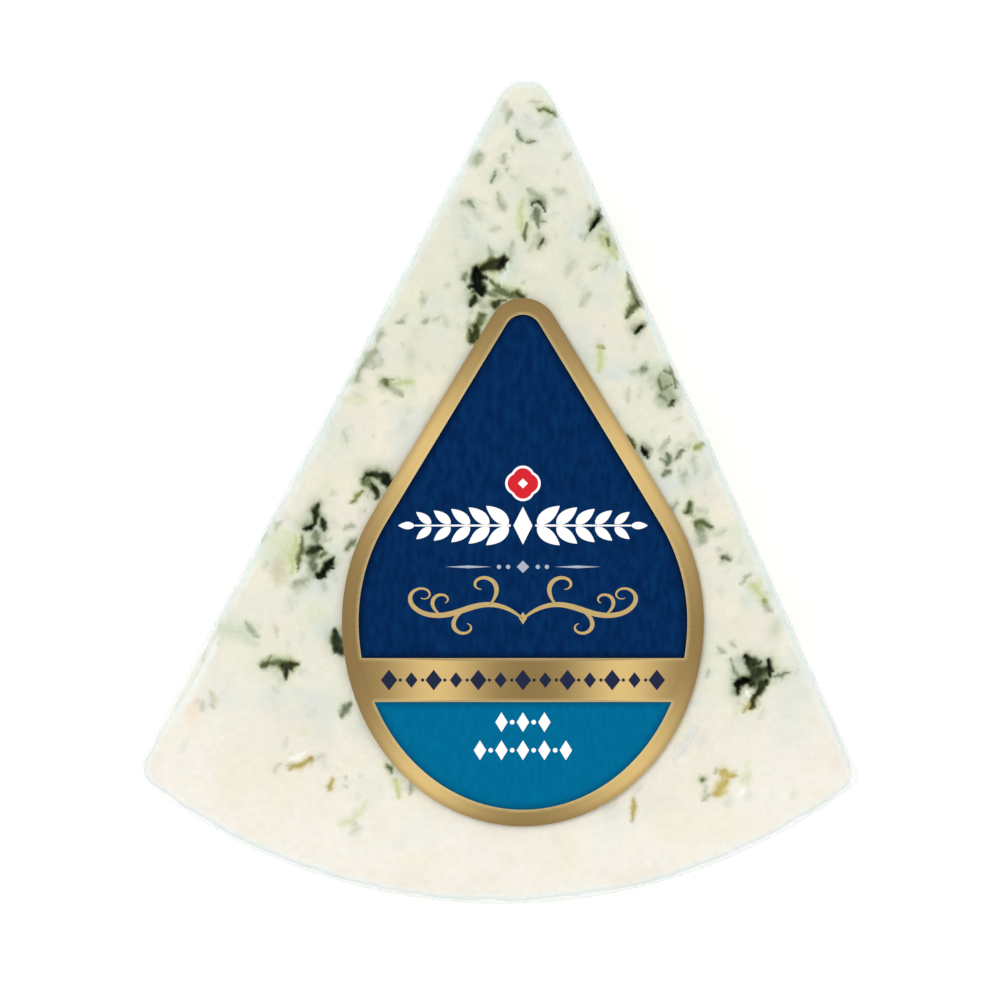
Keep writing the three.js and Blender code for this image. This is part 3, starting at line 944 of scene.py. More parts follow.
# Gorgonzola paste, cut with a wire: moist and matte, and a little see-through, so its edges glow.
def pasteMaterial():
    material = newMaterial("gorgonzolaPasteWireCut")
    tint = addNode(material, "Attribute", {"attribute_name": "pasteColour"})
    mouldy = addNode(material, "Attribute", {"attribute_name": "mouldShare"})
    place = addNode(material, "TexCoord")
    grain = addNode(material, "TexNoise", {"Scale": 1 / (0.9 * mm), "Detail": 5.0, "Roughness": 0.6},
                    {"Vector": place.outputs["Object"]})
    spores = addNode(material, "TexNoise", {"Scale": 1 / (0.45 * mm), "Detail": 3.0, "Roughness": 0.7},
                     {"Vector": place.outputs["Object"]})
    light = addNode(material, "MapRange", {
        "From Min": 0.3,
        "From Max": 0.7,
        "To Min": 0.965,
        "To Max": 1.03,
    }, {"Value": grain.outputs["Fac"]})
    fleck = addNode(material, "MapRange", {
        "From Min": 0.3,
        "From Max": 0.7,
        "To Min": 0.85,
        "To Max": 1.15,
    }, {"Value": spores.outputs["Fac"]})
    swing = addNode(material, "Mix", {"data_type": "FLOAT"},
                    {0: mouldy.outputs["Fac"], 2: light.outputs["Result"], 3: fleck.outputs["Result"]})
    shade = addNode(material, "VectorMath", {"operation": "SCALE"},
                    {"Vector": tint.outputs["Color"], "Scale": swing.outputs["Result"]})
    moist = addNode(material, "MapRange", {"To Min": 0.42, "To Max": 0.62},
                    {"Value": grain.outputs["Fac"]})
    bump = addNode(material, "Bump", {"Strength": 0.35, "Distance": 0.25 * mm},
                   {"Height": grain.outputs["Fac"]})
    shader = addNode(material, "BsdfPrincipled", {
        "IOR": 1.42,
        "Subsurface Weight": 0.2,
        "Subsurface Radius": (1.0, 0.8, 0.5),
        "Subsurface Scale": 0.5 * mm,
        "Specular IOR Level": 0.15,
    }, {
        "Base Color": shade.outputs["Vector"],
        "Roughness": moist.outputs["Result"],
        "Normal": bump.outputs["Normal"],
    })
    addNode(material, "OutputMaterial", links={"Surface": shader.outputs["BSDF"]})
    return material


cheese = {
    "gap": 0.35,  # between the film's outline and the paste
    "tipRadius": 3.5,
    "leftCorner": 2.7,
    "rightCorner": 2.7,
    "foot": 0.16,
    "top": 34.72,
    "edge": 0.65,  # radius of the worn edges
    "edgeSteps": 5,
    "spacing": 0.45,
    "rowSpacing": 0.5,
    "fine": 0.24,  # point spacing by the veins, twice that elsewhere and four times under the label
    "fineFrom": (0.06, 0.01),  # how mouldy a place by the veins is, or how deep
    "underLabel": (2.5, 1.5),  # how far in from the label's outline, and point spacing of that line
    "underSpacing": 0.65,
    "gridMargin": 0.6,  # share of the spacing
    # how far down or up the mould of each face goes: where it starts and where it is full
    "faceMould": (3.2, 0.2),
    "wallMould": (0.1, 1.6),
    "wallMouldFoot": 1.2,
    "underMould": (2.2, 0.3),
    "faceSpecks": (620, 9),  # tries and seed
    "wallMarks": (46, 31),
    "wallSpecks": (900, 32),
    "underMarks": (110, 33),
    "underSpecks": (420, 34),
    "seeds": {"edge": 11, "face": 31, "wall": 131, "under": 231, "paste": 51, "lift": 71},
}

# Along the upper edge the paste is worn, and at the lower left the film stands off it.
wornEdge = {
    "layers": [(0.2, 4.2, 0), (0.12, 1.5, 1)],
    "level": 0.05,
    "down": (7, 0),
    "standsOff": 0.9,
    "upperEnd": (-14, -20),
    "lowerEnd": (-30, -24),
}

# Painted highlight along the upper edge, where the rounding of the paste turns from the light: how much,
# over which depth, and how much less further in.
edgeHighlightReach = {"strength": 0.8, "depth": (0.9, 0.5), "inward": 0.7}

# The surface's own relief in mm: lumps everywhere, and on the rougher cut walls grains, and pits where
# crumbs came away, each with its depth, lump, step from the seed and reach in the noise.
relief = {
    "lumps": [(0.07, 7, 0), (0.045, 2.1, 1), (0.02, 0.8, 2)],
    "grain": (0.05, 1.1, 3),
    "pits": [(0.4, 2.4, 4, (0.25, 0.75)), (0.25, 0.95, 5, (0.3, 0.8))],
}


def cheeseWall(outline):
    # the wall with its worn edges, which way each point faces, and how much painted highlight its upper
    # edge gets
    spots = outline["spots"]
    outward = outline["outward"]
    top = cheese["top"]
    ragged = layeredNoise(spots, wornEdge["layers"], cheese["seeds"]["edge"]) + wornEdge["level"]
    lowerLeft = ease(*wornEdge["upperEnd"], spots[:, 1]) * ease(*wornEdge["lowerEnd"], spots[:, 1])
    ragged = np.clip(ragged, 0, None) + wornEdge["standsOff"] * (lowerLeft * (spots[:, 0] < 0))
    wall = []
    facing = []
    edgeHighlight = []
    for inset, height, up in wallRows(cheese):
        worn = ragged * easeBelow(top, *wornEdge["down"], height)
        wall.append(atHeight(spots - outward * (inset + worn)[:, None], height))
        facing.append(atHeight(outward * math.sqrt(1 - up * up), up))
        share = edgeHighlightReach["strength"] * easeBelow(top, *edgeHighlightReach["depth"], height)
        share *= 1 - edgeHighlightReach["inward"] * inset / cheese["edge"]
        edgeHighlight.append(np.full(len(spots), share))
    return np.concatenate(wall), np.concatenate(facing), np.concatenate(edgeHighlight)


def facePoints(loop, veins):
    # points for the veined face: fine by the veins, coarser elsewhere and coarsest under the label
    spacing = cheese["fine"]
    points = innerPoints([loop], spacing, cheese["gridMargin"] * spacing)
    columns = np.round((points[:, 0] - loop[:, 0].min()) / (spacing / 2)).astype(int)
    lines = np.round((points[:, 1] - loop[:, 1].min()) / (spacing * math.sqrt(3) / 2)).astype(int)

    def everyNth(step):
        return (lines % step == 0) & (columns % (2 * step) == (lines // step % 2) * step)

    blank = np.zeros((len(points), 3))
    seed = cheese["seeds"]["face"]
    _, mouldy, deep = paintMould(points, veins, [], blank, seed, np.ones(len(points)))
    leastMouldy, leastDeep = cheese["fineFrom"]
    fine = everyNth(2) | (mouldy > leastMouldy) | (np.abs(deep) > leastDeep)
    covered = depthInside(points, [dropOutline(*cheese["underLabel"])]) > 0
    return points[np.where(covered, everyNth(4), fine)]


def cheeseRelief(corners, onCut):
    seed = cheese["seeds"]["lift"]
    lift = layeredNoise(corners, relief["lumps"], seed)
    rise, lump, step = relief["grain"]
    lift += onCut * rise * roughNoise(corners, lump, seed + step)
    for depth, lump, step, reach in relief["pits"]:
        lift -= onCut * depth * ease(*reach, roughNoise(corners, lump, seed + step))
    return lift


def cheeseMould(outline, topLoop, footLoop):
    # the mould of the veined face, the cut walls and the underside
    tries, seed = cheese["faceSpecks"]
    onFace = growMould(sum(marks.values(), []), spreadOnFace(topLoop, tries, seed), growth["seed"])
    tries, seed = cheese["wallMarks"]
    roots = scatterMarks(spreadOnWalls(outline, tries, seed), seed) + pocketMarks(outline)
    tries, seed = cheese["wallSpecks"]
    onWalls = growMould(roots, spreadOnWalls(outline, tries, seed), seed)
    tries, seed = cheese["underMarks"]
    roots = [(*mark[:-1], 0) for mark in scatterMarks(spreadOnFace(footLoop, tries, seed), seed)]
    tries, seed = cheese["underSpecks"]
    return onFace, onWalls, growMould(roots, spreadOnFace(footLoop, tries, seed), seed)


def makeCheese():
    outline = wedgeOutline(cheese)
    around = len(outline["spots"])
    foot = cheese["foot"]
    top = cheese["top"]
    seeds = cheese["seeds"]
    wall, facing, edgeHighlight = cheeseWall(outline)
    footLoop = wall[:around, :2]
    topLoop = wall[-around:, :2]
    faceMould, wallMould, underMould = cheeseMould(outline, topLoop, footLoop)
    onFace = facePoints(topLoop, faceMould[0])
    under = innerPoints([footLoop], cheese["underSpacing"], cheese["gridMargin"] * cheese["underSpacing"])
    corners, faces = closeWall(wall, around, onFace, under, cheese)
    upward = np.repeat([1.0, -1.0], [len(onFace), len(under)])
    rest = np.zeros(len(upward))
    facing = np.concatenate([facing, np.column_stack([rest, rest, upward])])

    # how much of each face's mould a point gets, by its height, and where it is drawn from
    height = corners[:, 2]
    rows = len(wall) // around
    unrolled = np.column_stack([np.concatenate([np.tile(outline["along"], rows), rest]), height])
    onCut = np.concatenate([np.tile(1 - outline["rind"], rows), rest])
    onCut = onCut * easeBelow(top, *cheese["wallMould"], height)
    onCut = onCut * ease(foot, cheese["wallMouldFoot"], height)
    zones = [
        (corners[:, :2], faceMould, easeBelow(top, *cheese["faceMould"], height), seeds["face"]),
        (unrolled, wallMould, onCut, seeds["wall"]),
        (corners[:, :2], underMould, ease(*cheese["underMould"], height), seeds["under"]),
    ]
    colours = pasteColours(corners, seeds["paste"])
    # the upper edge is painted paler, a painted highlight against the shade of its rounding
    edgeHighlight = np.concatenate([edgeHighlight, rest])[:, None]
    colours = colours * (1 - edgeHighlight) + hexChannels(paste["edgeHighlight"]) * edgeHighlight
    mouldy = np.zeros(len(corners))
    deep = np.zeros(len(corners))
    for places, (veins, blooms), fade, seed in zones:
        near = np.nonzero(fade > 0)[0]
        painted = paintMould(places[near], veins, blooms, colours[near], seed, fade[near])
        colours[near] = painted[0]
        mouldy[near] = np.maximum(mouldy[near], painted[1])
        deep[near] += painted[2]

    corners = corners + facing * (cheeseRelief(corners, onCut) - deep)[:, None]
    piece = makePiece("cheesePaste", corners, faces, pasteMaterial(), {
        "pasteColour": toLinear(colours),
        "mouldShare": mouldy,
    })
    print("cheese:", len(corners), "points,", len(faces), "faces")
    return piece


# The label's outline: a drop, moved in by inset
def dropOutline(inset, spacing):
    lean = math.radians(label["shoulderLean"])
    flank = label["halfWidth"] - label["flankRadius"]
    shoulderX = flank + label["flankRadius"] * math.cos(lean)
    shouldersMeet = label["flankRadius"] * math.sin(lean) + shoulderX / math.tan(lean)
    tip = np.array([0, shouldersMeet - label["tipRadius"] / math.sin(lean)])
    tipSide = np.array([math.cos(lean), math.sin(lean)]) * label["tipRadius"] + tip
    flankEnd = np.array([shoulderX, label["flankRadius"] * math.sin(lean)])
    mirror = np.array([-1, 1])
    rightOut = np.array([math.cos(lean), math.sin(lean)])
    runs = [
        arcRun(np.array([flank, 0]), label["flankRadius"], 0, lean, spacing),
        lineRun(flankEnd, tipSide, rightOut, spacing),
        arcRun(tip, label["tipRadius"], lean, math.pi - lean, spacing),
        lineRun(tipSide * mirror, flankEnd * mirror, rightOut * mirror, spacing),
        arcRun(np.array([-flank, 0]), label["flankRadius"], math.pi - lean, math.pi, spacing),
        arcRun(np.zeros(2), label["halfWidth"], math.pi, 2 * math.pi, spacing,
               label["footDepth"] / label["halfWidth"]),
    ]
    spots = np.concatenate([run[0] for run in runs])
    outward = np.concatenate([run[1] for run in runs])
    return spots - outward * inset + labelCentre


# Shrink film over the whole wedge: clear where it lies flat, and at the edges a whitish haze that is
# partly a painted reflection of the pale surroundings.
film = {
    "gap": 0.04,
    "foot": 0.02,
    "top": 34.98,
    "edge": 1.0,
    "edgeSteps": 6,
    "spacing": 0.8,
    "rowSpacing": 1.3,
    "faceSpacing": 2.5,
    "faceMargin": 1.2,
    "seed": 70,
    "slack": (0.05, 8),  # how far it lies in from the outline, and the lumps of that
    "ripple": (0.03, 2.6),
    "heldFrom": 5,  # towards both edges
    "wallHaze": 0.04,
    "edgeHazeAndSheen": 0.3,
    "edgeDepth": (1.1, 0.6),
    # small folds beside the label, with painted highlights: start, end, width and how whitish they are
    "folds": [
        ((24.0, -28.4), (22.7, -30.8), 1.1, 0.5),
        ((22.7, -30.2), (21.3, -32.6), 1.0, 0.5),
        ((25.3, -28.8), (24.1, -31.2), 1.2, 0.25),
    ],
    "foldSpacing": 0.25,
    "foldEnd": 0.3,  # share of the width
    "leastHaze": 0.001,
}


def filmMaterial():
    # polyolefin shrink film: clear, smooth and thin, with a faint cool whitish haze that paints the
    # reflection at its edges and the highlights in its folds
    material = newMaterial("shrinkFilmClearGloss")
    place = addNode(material, "TexCoord")
    gathered = addNode(material, "Attribute", {"attribute_name": "gathered"})
    stretch = addNode(material, "Mapping", {"Scale": (1, 1, 0.25)}, {"Vector": place.outputs["Object"]})
    pull = addNode(material, "TexNoise", {"Scale": 1 / (3.5 * mm), "Detail": 3.0},
                   {"Vector": stretch.outputs["Vector"]})
    bump = addNode(material, "Bump", {"Strength": 0.25, "Distance": 0.4 * mm},
                   {"Height": pull.outputs["Fac"]})
    clear = addNode(material, "BsdfTransparent", {"Color": linearColour("fdffff")})
    gloss = addNode(material, "BsdfGlossy", {"Roughness": 0.14, "Color": linearColour("ffffff")},
                    {"Normal": bump.outputs["Normal"]})
    facing = addNode(material, "LayerWeight", {"Blend": 0.5}, {"Normal": bump.outputs["Normal"]})
    slant = addNode(material, "Math", {"operation": "POWER", 1: 5.0}, {0: facing.outputs["Facing"]})
    edge = addNode(material, "MapRange", {"To Min": 0.004, "To Max": 0.5},
                   {"Value": slant.outputs["Value"]})
    sheet = addNode(material, "MixShader", links={
        0: edge.outputs["Result"],
        1: clear.outputs["BSDF"],
        2: gloss.outputs["BSDF"],
    })
    # the haze is lit as if it faced up, so that the painted reflection at the edges stays bright
    surface = addNode(material, "NewGeometry")
    raised = addNode(material, "VectorMath", {"operation": "ADD", 1: (0, 0, 1.2)},
                     {0: surface.outputs["Normal"]})
    facingUp = addNode(material, "VectorMath", {"operation": "NORMALIZE"}, {0: raised.outputs["Vector"]})
    cloudy = addNode(material, "BsdfDiffuse", {"Color": linearColour("f3fcff")},
                     {"Normal": facingUp.outputs["Vector"]})
    glow = addNode(material, "BsdfTranslucent", {"Color": linearColour("f3fcff")})
    haze = addNode(material, "MixShader", {0: 0.25},
                   {1: cloudy.outputs["BSDF"], 2: glow.outputs["BSDF"]})
    whole = addNode(material, "MixShader", links={
        0: gathered.outputs["Fac"],
        1: sheet.outputs["Shader"],
        2: haze.outputs["Shader"],
    })
    addNode(material, "OutputMaterial", links={"Surface": whole.outputs["Shader"]})
    return material


def foldHighlight(places):
    # how whitish the film is in its folds: a painted highlight
    haze = np.zeros(len(places))
    for start, end, width, strength in film["folds"]:
        narrow = film["foldEnd"] * width
        reach = strokeReach(places, (narrow, width, narrow), [start, end])
        haze = np.maximum(haze, strength * np.exp(-reach ** 2))
    return haze


def filmWall(outline):
    # the film's wall, drawn in a little between its edges, and how much whitish haze, partly painted
    # reflection, it has there
    top = film["top"]
    wall = []
    gathered = []
    rows = wallRows(film)
    for inset, height, _ in rows:
        wall.append(atHeight(outline["spots"] - outline["outward"] * inset, height))
        share = film["wallHaze"] + film["edgeHazeAndSheen"] * easeBelow(top, *film["edgeDepth"], height)
        gathered.append(np.full(len(wall[-1]), share * (1 - inset / film["edge"])))
    wall = np.concatenate(wall)
    drawn, lump = film["slack"]
    slack = drawn * (1 + roughNoise(wall, lump, film["seed"]))
    drawn, lump = film["ripple"]
    slack += drawn * roughNoise(wall, lump, film["seed"] + 1)
    held = ease(0, film["heldFrom"], wall[:, 2]) * easeBelow(top, 0, film["heldFrom"], wall[:, 2])
    facing = np.tile(outline["outward"], (len(rows), 1))
    wall[:, :2] -= facing * np.clip(slack * held, 0, None)[:, None]
    return wall, np.concatenate(gathered)


def makeFilm():
    outline = wedgeOutline(film)
    around = len(outline["spots"])
    wall, gathered = filmWall(outline)
    topLoop = wall[-around:, :2]
    onFace = innerPoints([topLoop], film["faceSpacing"], film["faceMargin"])
    inFolds = hexPoints(topLoop, film["foldSpacing"])
    onFace = np.concatenate([
        onFace[foldHighlight(onFace) < film["leastHaze"]],
        inFolds[foldHighlight(inFolds) > film["leastHaze"]],
    ])
    under = innerPoints([wall[:around, :2]], film["faceSpacing"], film["faceMargin"])
    corners, faces = closeWall(wall, around, onFace, under, film)
    gathered = np.concatenate([gathered, foldHighlight(onFace), np.zeros(len(under))])
    piece = makePiece("clearFilm", corners, faces, filmMaterial(), {"gathered": gathered})
    print("film:", len(corners), "points")
    return piece


# The printed label: a die-cut paper drop on the film, foil-stamped round two printed fields.

def clipLoop(loop, level, above):
    # the part of a loop above or below a level
    side = 1 if above else -1
    kept = []
    for start, end in zip(loop, np.roll(loop, -1, axis=0)):
        startIn = side * (start[1] - level) >= 0
        endIn = side * (end[1] - level) >= 0
        if startIn:
            kept.append(start)
        if startIn != endIn:
            kept.append(start + (end - start) * (level - start[1]) / (end[1] - start[1]))
    return np.array(kept)


def signedArea(loop):
    ahead = np.roll(loop, -1, axis=0)
    return 0.5 * np.sum(loop[:, 0] * ahead[:, 1] - ahead[:, 0] * loop[:, 1])


def plate(loops, low, high, inner=()):
    # a thin closed plate; the loops after the first are its holes, and heights are above the veined face
    inner = np.array(inner).reshape(-1, 2)
    flat = np.concatenate(loops)
    count = len(flat)
    total = count + len(inner)
    faces = fillLoops(loops, inner)
    faces += [[i + total for i in reversed(face)] for face in fillLoops(loops, inner[:0])]
    first = 0
    for order, loop in enumerate(loops):
        turning = 1 if (signedArea(loop) > 0) == (order == 0) else -1
        for i in range(len(loop)):
            here = first + i
            following = first + (i + 1) % len(loop)
            faces.append([here, here + total, following + total, following][::turning])
        first += len(loop)
    base = wedge["thickness"]
    corners = np.concatenate([
        atHeight(np.concatenate([flat, inner]), base + high),
        atHeight(flat, base + low),
    ])
    return corners, faces


def joinPlates(plates):
    # one mesh of several plates
    corners = np.concatenate([part for part, _ in plates])
    faces = []
    first = 0
    for part, partFaces in plates:
        faces += [[i + first for i in face] for face in partFaces]
        first += len(part)
    return corners, faces


def softenEdges(piece, width):
    # a narrow rounded edge, as a stamp leaves it
    bevel = piece.modifiers.new("stampedEdge", "BEVEL")
    bevel.width = width * mm
    bevel.segments = 2
    bevel.limit_method = "ANGLE"
    bevel.angle_limit = math.radians(40)
    depsgraph = bpy.context.evaluated_depsgraph_get()
    finished = bpy.data.meshes.new_from_object(piece.evaluated_get(depsgraph))
    piece.modifiers.clear()
    piece.data = finished


def fieldLoop(side, inset, spacing=label["spacing"]):
    # the printed field above the band or below it
    level = label["bandTop"] if side == "upper" else label["bandBottom"]
    return clipLoop(dropOutline(inset, spacing), labelCentre[1] + level, side == "upper")


# Painted highlights where the foil glints round its frame: middle of each soft light, how far it reaches,
# how strong
foilGlints = [
    ((14.5, 19.5), 13.5, 0.92),
    ((-13.0, 21.5), 11, 0.9),
    ((-12.8, -19.9), 8, 1.0),
    ((14.5, -18.0), 9.5, 0.95),
]
# and the painted highlights along its band: place, reach and strength
bandGlints = [(-10.5, 5.5, 0.9), (12.0, 5.5, 0.95)]

# How the foil changes where the band starts, with its painted highlight by the printed fields and its
# painted shade by the rim.
foilEdges = {
    "spacing": 1.0,
    "bandMargin": 0.2,
    "bandReach": (-0.15, 0.15),
    "strength": 0.45,
    "fieldHighlightReach": (0.42, 0.1),
    "rimReach": (0.9, 0),
}


def foilPaint(places):
    # the foil's painted light: how brightly it glints, how much paler it is beside a printed field, and
    # how much browner by its rim
    spots = places - labelCentre
    onFrame = sum(strength * np.exp(-np.sum((spots - middle) ** 2, axis=1) / reach ** 2)
                  for middle, reach, strength in foilGlints)
    onBand = sum(strength * np.exp(-((spots[:, 0] - place) / reach) ** 2)
                 for place, reach, strength in bandGlints)
    spacing = foilEdges["spacing"]
    margin = foilEdges["bandMargin"]
    level = (spots[:, 1] < label["bandTop"] + margin) & (spots[:, 1] > label["bandBottom"] - margin)
    inFrame = depthInside(places, [dropOutline(label["frameWidth"], spacing)])
    band = level * ease(*foilEdges["bandReach"], inFrame)
    fields = [fieldLoop(side, label["frameWidth"], spacing) for side in ("upper", "lower")]
    fromRim = depthInside(places, [dropOutline(0, spacing)])
    return {
        "glint": np.clip(onFrame * (1 - band) + onBand * band, 0, 1),
        # painted highlight: paler beside the printed fields
        "byField": foilEdges["strength"] * ease(*foilEdges["fieldHighlightReach"], -depthInside(places, fields)),
        # painted shade: browner towards the outer rim
        "byRim": foilEdges["strength"] * ease(*foilEdges["rimReach"], fromRim),
    }


def foilMaterial():
    # hot-stamped foil on paper: satin metal, with painted glints, painted shade along its rim and painted
    # highlights along the field edges
    material = newMaterial("goldFoilHotStamped")
    place = addNode(material, "TexCoord")
    glint = addNode(material, "Attribute", {"attribute_name": "glint"})
    byField = addNode(material, "Attribute", {"attribute_name": "byField"})
    byRim = addNode(material, "Attribute", {"attribute_name": "byRim"})
    # the glints are painted highlights mixed into the foil's colour
    lit = addNode(material, "Mix", {
        "data_type": "RGBA",
        6: linearColour("836834"),
        7: linearColour("d8b976"),
    }, {0: glint.outputs["Fac"]})
    # painted shade along the outer rim
    rimShaded = addNode(material, "Mix", {"data_type": "RGBA", 7: linearColour("7c6134")},
                    {0: byRim.outputs["Fac"], 6: lit.outputs[2]})
    # painted highlight along the field edges
    fieldEdgeLit = addNode(material, "Mix", {"data_type": "RGBA", 7: linearColour("d8c690")},
                    {0: byField.outputs["Fac"], 6: rimShaded.outputs[2]})
    dust = addNode(material, "TexNoise", {"Scale": 1 / (0.5 * mm), "Detail": 3.0},
                   {"Vector": place.outputs["Object"]})
    sheen = addNode(material, "MapRange", {"To Min": 0.4, "To Max": 0.52},
                    {"Value": dust.outputs["Fac"]})
    bump = addNode(material, "Bump", {"Strength": 0.1, "Distance": 0.05 * mm},
                   {"Height": dust.outputs["Fac"]})
    shader = addNode(material, "BsdfPrincipled", {"Metallic": 0.35}, {
        "Base Color": fieldEdgeLit.outputs[2],
        "Roughness": sheen.outputs["Result"],
        "Normal": bump.outputs["Normal"],
    })
    addNode(material, "OutputMaterial", links={"Surface": shader.outputs["BSDF"]})
    return material


def fibrePaperMaterial(name, dark, light, shadow, fibre, depth):
    # coated paper with long fibres pressed in, darker where the foil frame shades it
    material = newMaterial(name)
    place = addNode(material, "TexCoord")
    shade = addNode(material, "Attribute", {"attribute_name": "shade"})
    stretch = addNode(material, "Mapping", {"Scale": (1, 0.4, 1)}, {"Vector": place.outputs["Object"]})
    fibres = addNode(material, "TexNoise", {"Scale": 1 / (fibre * mm), "Detail": 4.0, "Roughness": 0.55},
                     {"Vector": stretch.outputs["Vector"]})
    tone = addNode(material, "ValToRGB", {
        "stops": [(0.35, linearColour(dark)), (0.68, linearColour(light))],
    }, {"Fac": fibres.outputs["Fac"]})
    shaded = addNode(material, "Mix", {"data_type": "RGBA", 7: linearColour(shadow)},
                     {0: shade.outputs["Fac"], 6: tone.outputs["Color"]})
    bump = addNode(material, "Bump", {"Strength": depth, "Distance": 0.08 * mm},
                   {"Height": fibres.outputs["Fac"]})
    shader = addNode(material, "BsdfPrincipled", {"Roughness": 0.6, "Specular IOR Level": 0.01}, {
        "Base Color": shaded.outputs[2],
        "Normal": bump.outputs["Normal"],
    })
    addNode(material, "OutputMaterial", links={"Surface": shader.outputs["BSDF"]})
    return material


def inkMaterial(name, hexCode, thinning=0.04):
    # screen-printed ink: even and matte, a touch thinner here and there
    material = newMaterial(name)
    place = addNode(material, "TexCoord")
    thin = addNode(material, "TexNoise", {"Scale": 1 / (0.8 * mm), "Detail": 2.0},
                   {"Vector": place.outputs["Object"]})
    light = addNode(material, "MapRange", {"To Min": 1 - thinning, "To Max": 1.0},
                    {"Value": thin.outputs["Fac"]})
    tone = addNode(material, "VectorMath", {"operation": "SCALE", 0: linearColour(hexCode)[:3]},
                   {"Scale": light.outputs["Result"]})
    shader = addNode(material, "BsdfPrincipled", {"Roughness": 0.6, "Specular IOR Level": 0.1},
                     {"Base Color": tone.outputs["Vector"]})
    addNode(material, "OutputMaterial", links={"Surface": shader.outputs["BSDF"]})
    return material


# The printed ornament, in mm from the middle of the label's widest line
prints = {
    "ink": 0.02,  # how thick the ink lies
    "sunk": 0.03,
    "apart": 0.00005,
    "rosette": {"at": (0, 16.7), "rim": (2.15, 0.14), "petals": (1.85, 0.16), "heart": 1.2, "step": 0.01},
    "garland": {
        "at": (0, 11.6),
        "middle": (2.3, 4.6),
        "pairs": 5,
        "firstLeaf": 3.5,
        "shrink": 0.3,
        "slimness": 0.44,
        "lean": 38,
        "offStem": 0.22,
        "firstAt": 1.7,
        "step": 2.35,
        "endAt": 13.1,
        "endLeaf": (2.0, 0.9),
        "stemFrom": (1.5, 0.13),  # start and half its width there
        "stemEnd": 0.1,
    },
    "row": {
        "at": (0, 6.6),
        "middle": 1.5,
        "dots": (1.8, 2.9),
        "dot": 0.26,
        "dashAt": 6.6,
        "dash": (5.6, 0.34),
    },
    "flourish": {
        "at": (0, 1.5),
        "scale": (1.04, 0.82),
        "drop": (-1.1, 1.0, 1.5),  # place, width and height
        "strokes": [
            # start, heading, length, bend along its way, width, where it is widest
            ((0, -1.5), 0.85, 20.5,
             [(0, -0.12), (0.22, -0.26), (0.45, 0.16), (0.66, 0.36), (0.84, 0.85), (1, 1.9)], 0.8, 0.38),
            ((3.9, 0.55), 2.15, 7.8, [(0, -0.1), (0.4, -0.5), (0.8, -1.1), (1, -1.7)], 0.55, 0.45),
            ((6.3, 0.1), -0.5, 7.2, [(0, -0.15), (0.4, -0.55), (0.8, -1.2), (1, -1.8)], 0.5, 0.45),
            ((9.6, -0.85), 0.75, 5.6, [(0, 0.2), (0.4, 0.7), (0.8, 1.4), (1, 2.2)], 0.45, 0.45),
        ],
    },
    "band": {"half": 6, "step": 2.7, "big": (2.0, 2.5), "small": (1.5, 1.9), "dot": 0.2},
    "teal": {"rows": [(-12.2, 1), (-15.6, 2)], "step": 2.6, "size": (1.5, 2.4), "dot": 0.28},
}

# How finely the printed shapes are drawn, and what gives a leaf its belly and a stroke its fine ends.
drawing = {
    "dotPoints": 24,
    "rosettePoints": 72,
    "leafPoints": 14,
    "leafBelly": 0.8,  # below one, it lies nearer the stalk
    "leafFullness": 0.85,
    "curlPoints": 70,
    "curlEnd": 0.12,
}


def lozenge(x, y, width, height):
    return np.array([(x + width / 2, y), (x, y + height / 2), (x - width / 2, y), (x, y - height / 2)])


def roundAngles(count):
    return np.linspace(0, 2 * math.pi, count, endpoint=False)


def dot(x, y, radius):
    angles = roundAngles(drawing["dotPoints"])
    return np.column_stack([x + radius * np.cos(angles), y + radius * np.sin(angles)])


def rosette(x, y, radius, depth):
    # a rounded figure of four petals
    angles = roundAngles(drawing["rosettePoints"])
    reach = radius * (1 - depth + depth * np.abs(np.cos(2 * angles)))
    return np.column_stack([x + reach * np.cos(angles), y + reach * np.sin(angles)])


def leaf(x, y, length, width, turn):
    # a pointed leaf that grows from (x, y) in the direction of turn
    share = np.linspace(0, 1, drawing["leafPoints"])
    bulge = width / 2 * np.sin(math.pi * share ** drawing["leafBelly"]) ** drawing["leafFullness"]
    upper = np.column_stack([share * length, bulge])
    lower = np.column_stack([share * length, -bulge])[::-1][1:-1]
    outline = np.concatenate([upper, lower])
    cosine = math.cos(math.radians(turn))
    sine = math.sin(math.radians(turn))
    turned = outline @ np.array([[cosine, sine], [-sine, cosine]])
    return turned[::-1] + (x, y)


def curl(start, heading, length, bends, width, widest):
    # a tapered stroke whose bend, in turns of a radian per mm, changes along its way
    count = drawing["curlPoints"]
    share = np.linspace(0, 1, count)
    bend = np.interp(share, [place for place, _ in bends], [amount for _, amount in bends])
    step = length / (count - 1)
    headings = heading + np.concatenate([[0], np.cumsum(bend[:-1]) * step])
    hops = np.column_stack([np.cos(headings[:-1]), np.sin(headings[:-1])]) * step
    spine = np.array(start) + np.concatenate([[[0, 0]], np.cumsum(hops, axis=0)])
    across = np.column_stack([-np.sin(headings), np.cos(headings)])
    swell = share ** (math.log(0.5) / math.log(widest))
    end = drawing["curlEnd"]
    half = (end + (width - end) * np.sin(math.pi * swell))[:, None] / 2
    return np.concatenate([spine - across * half, (spine + across * half)[::-1]])


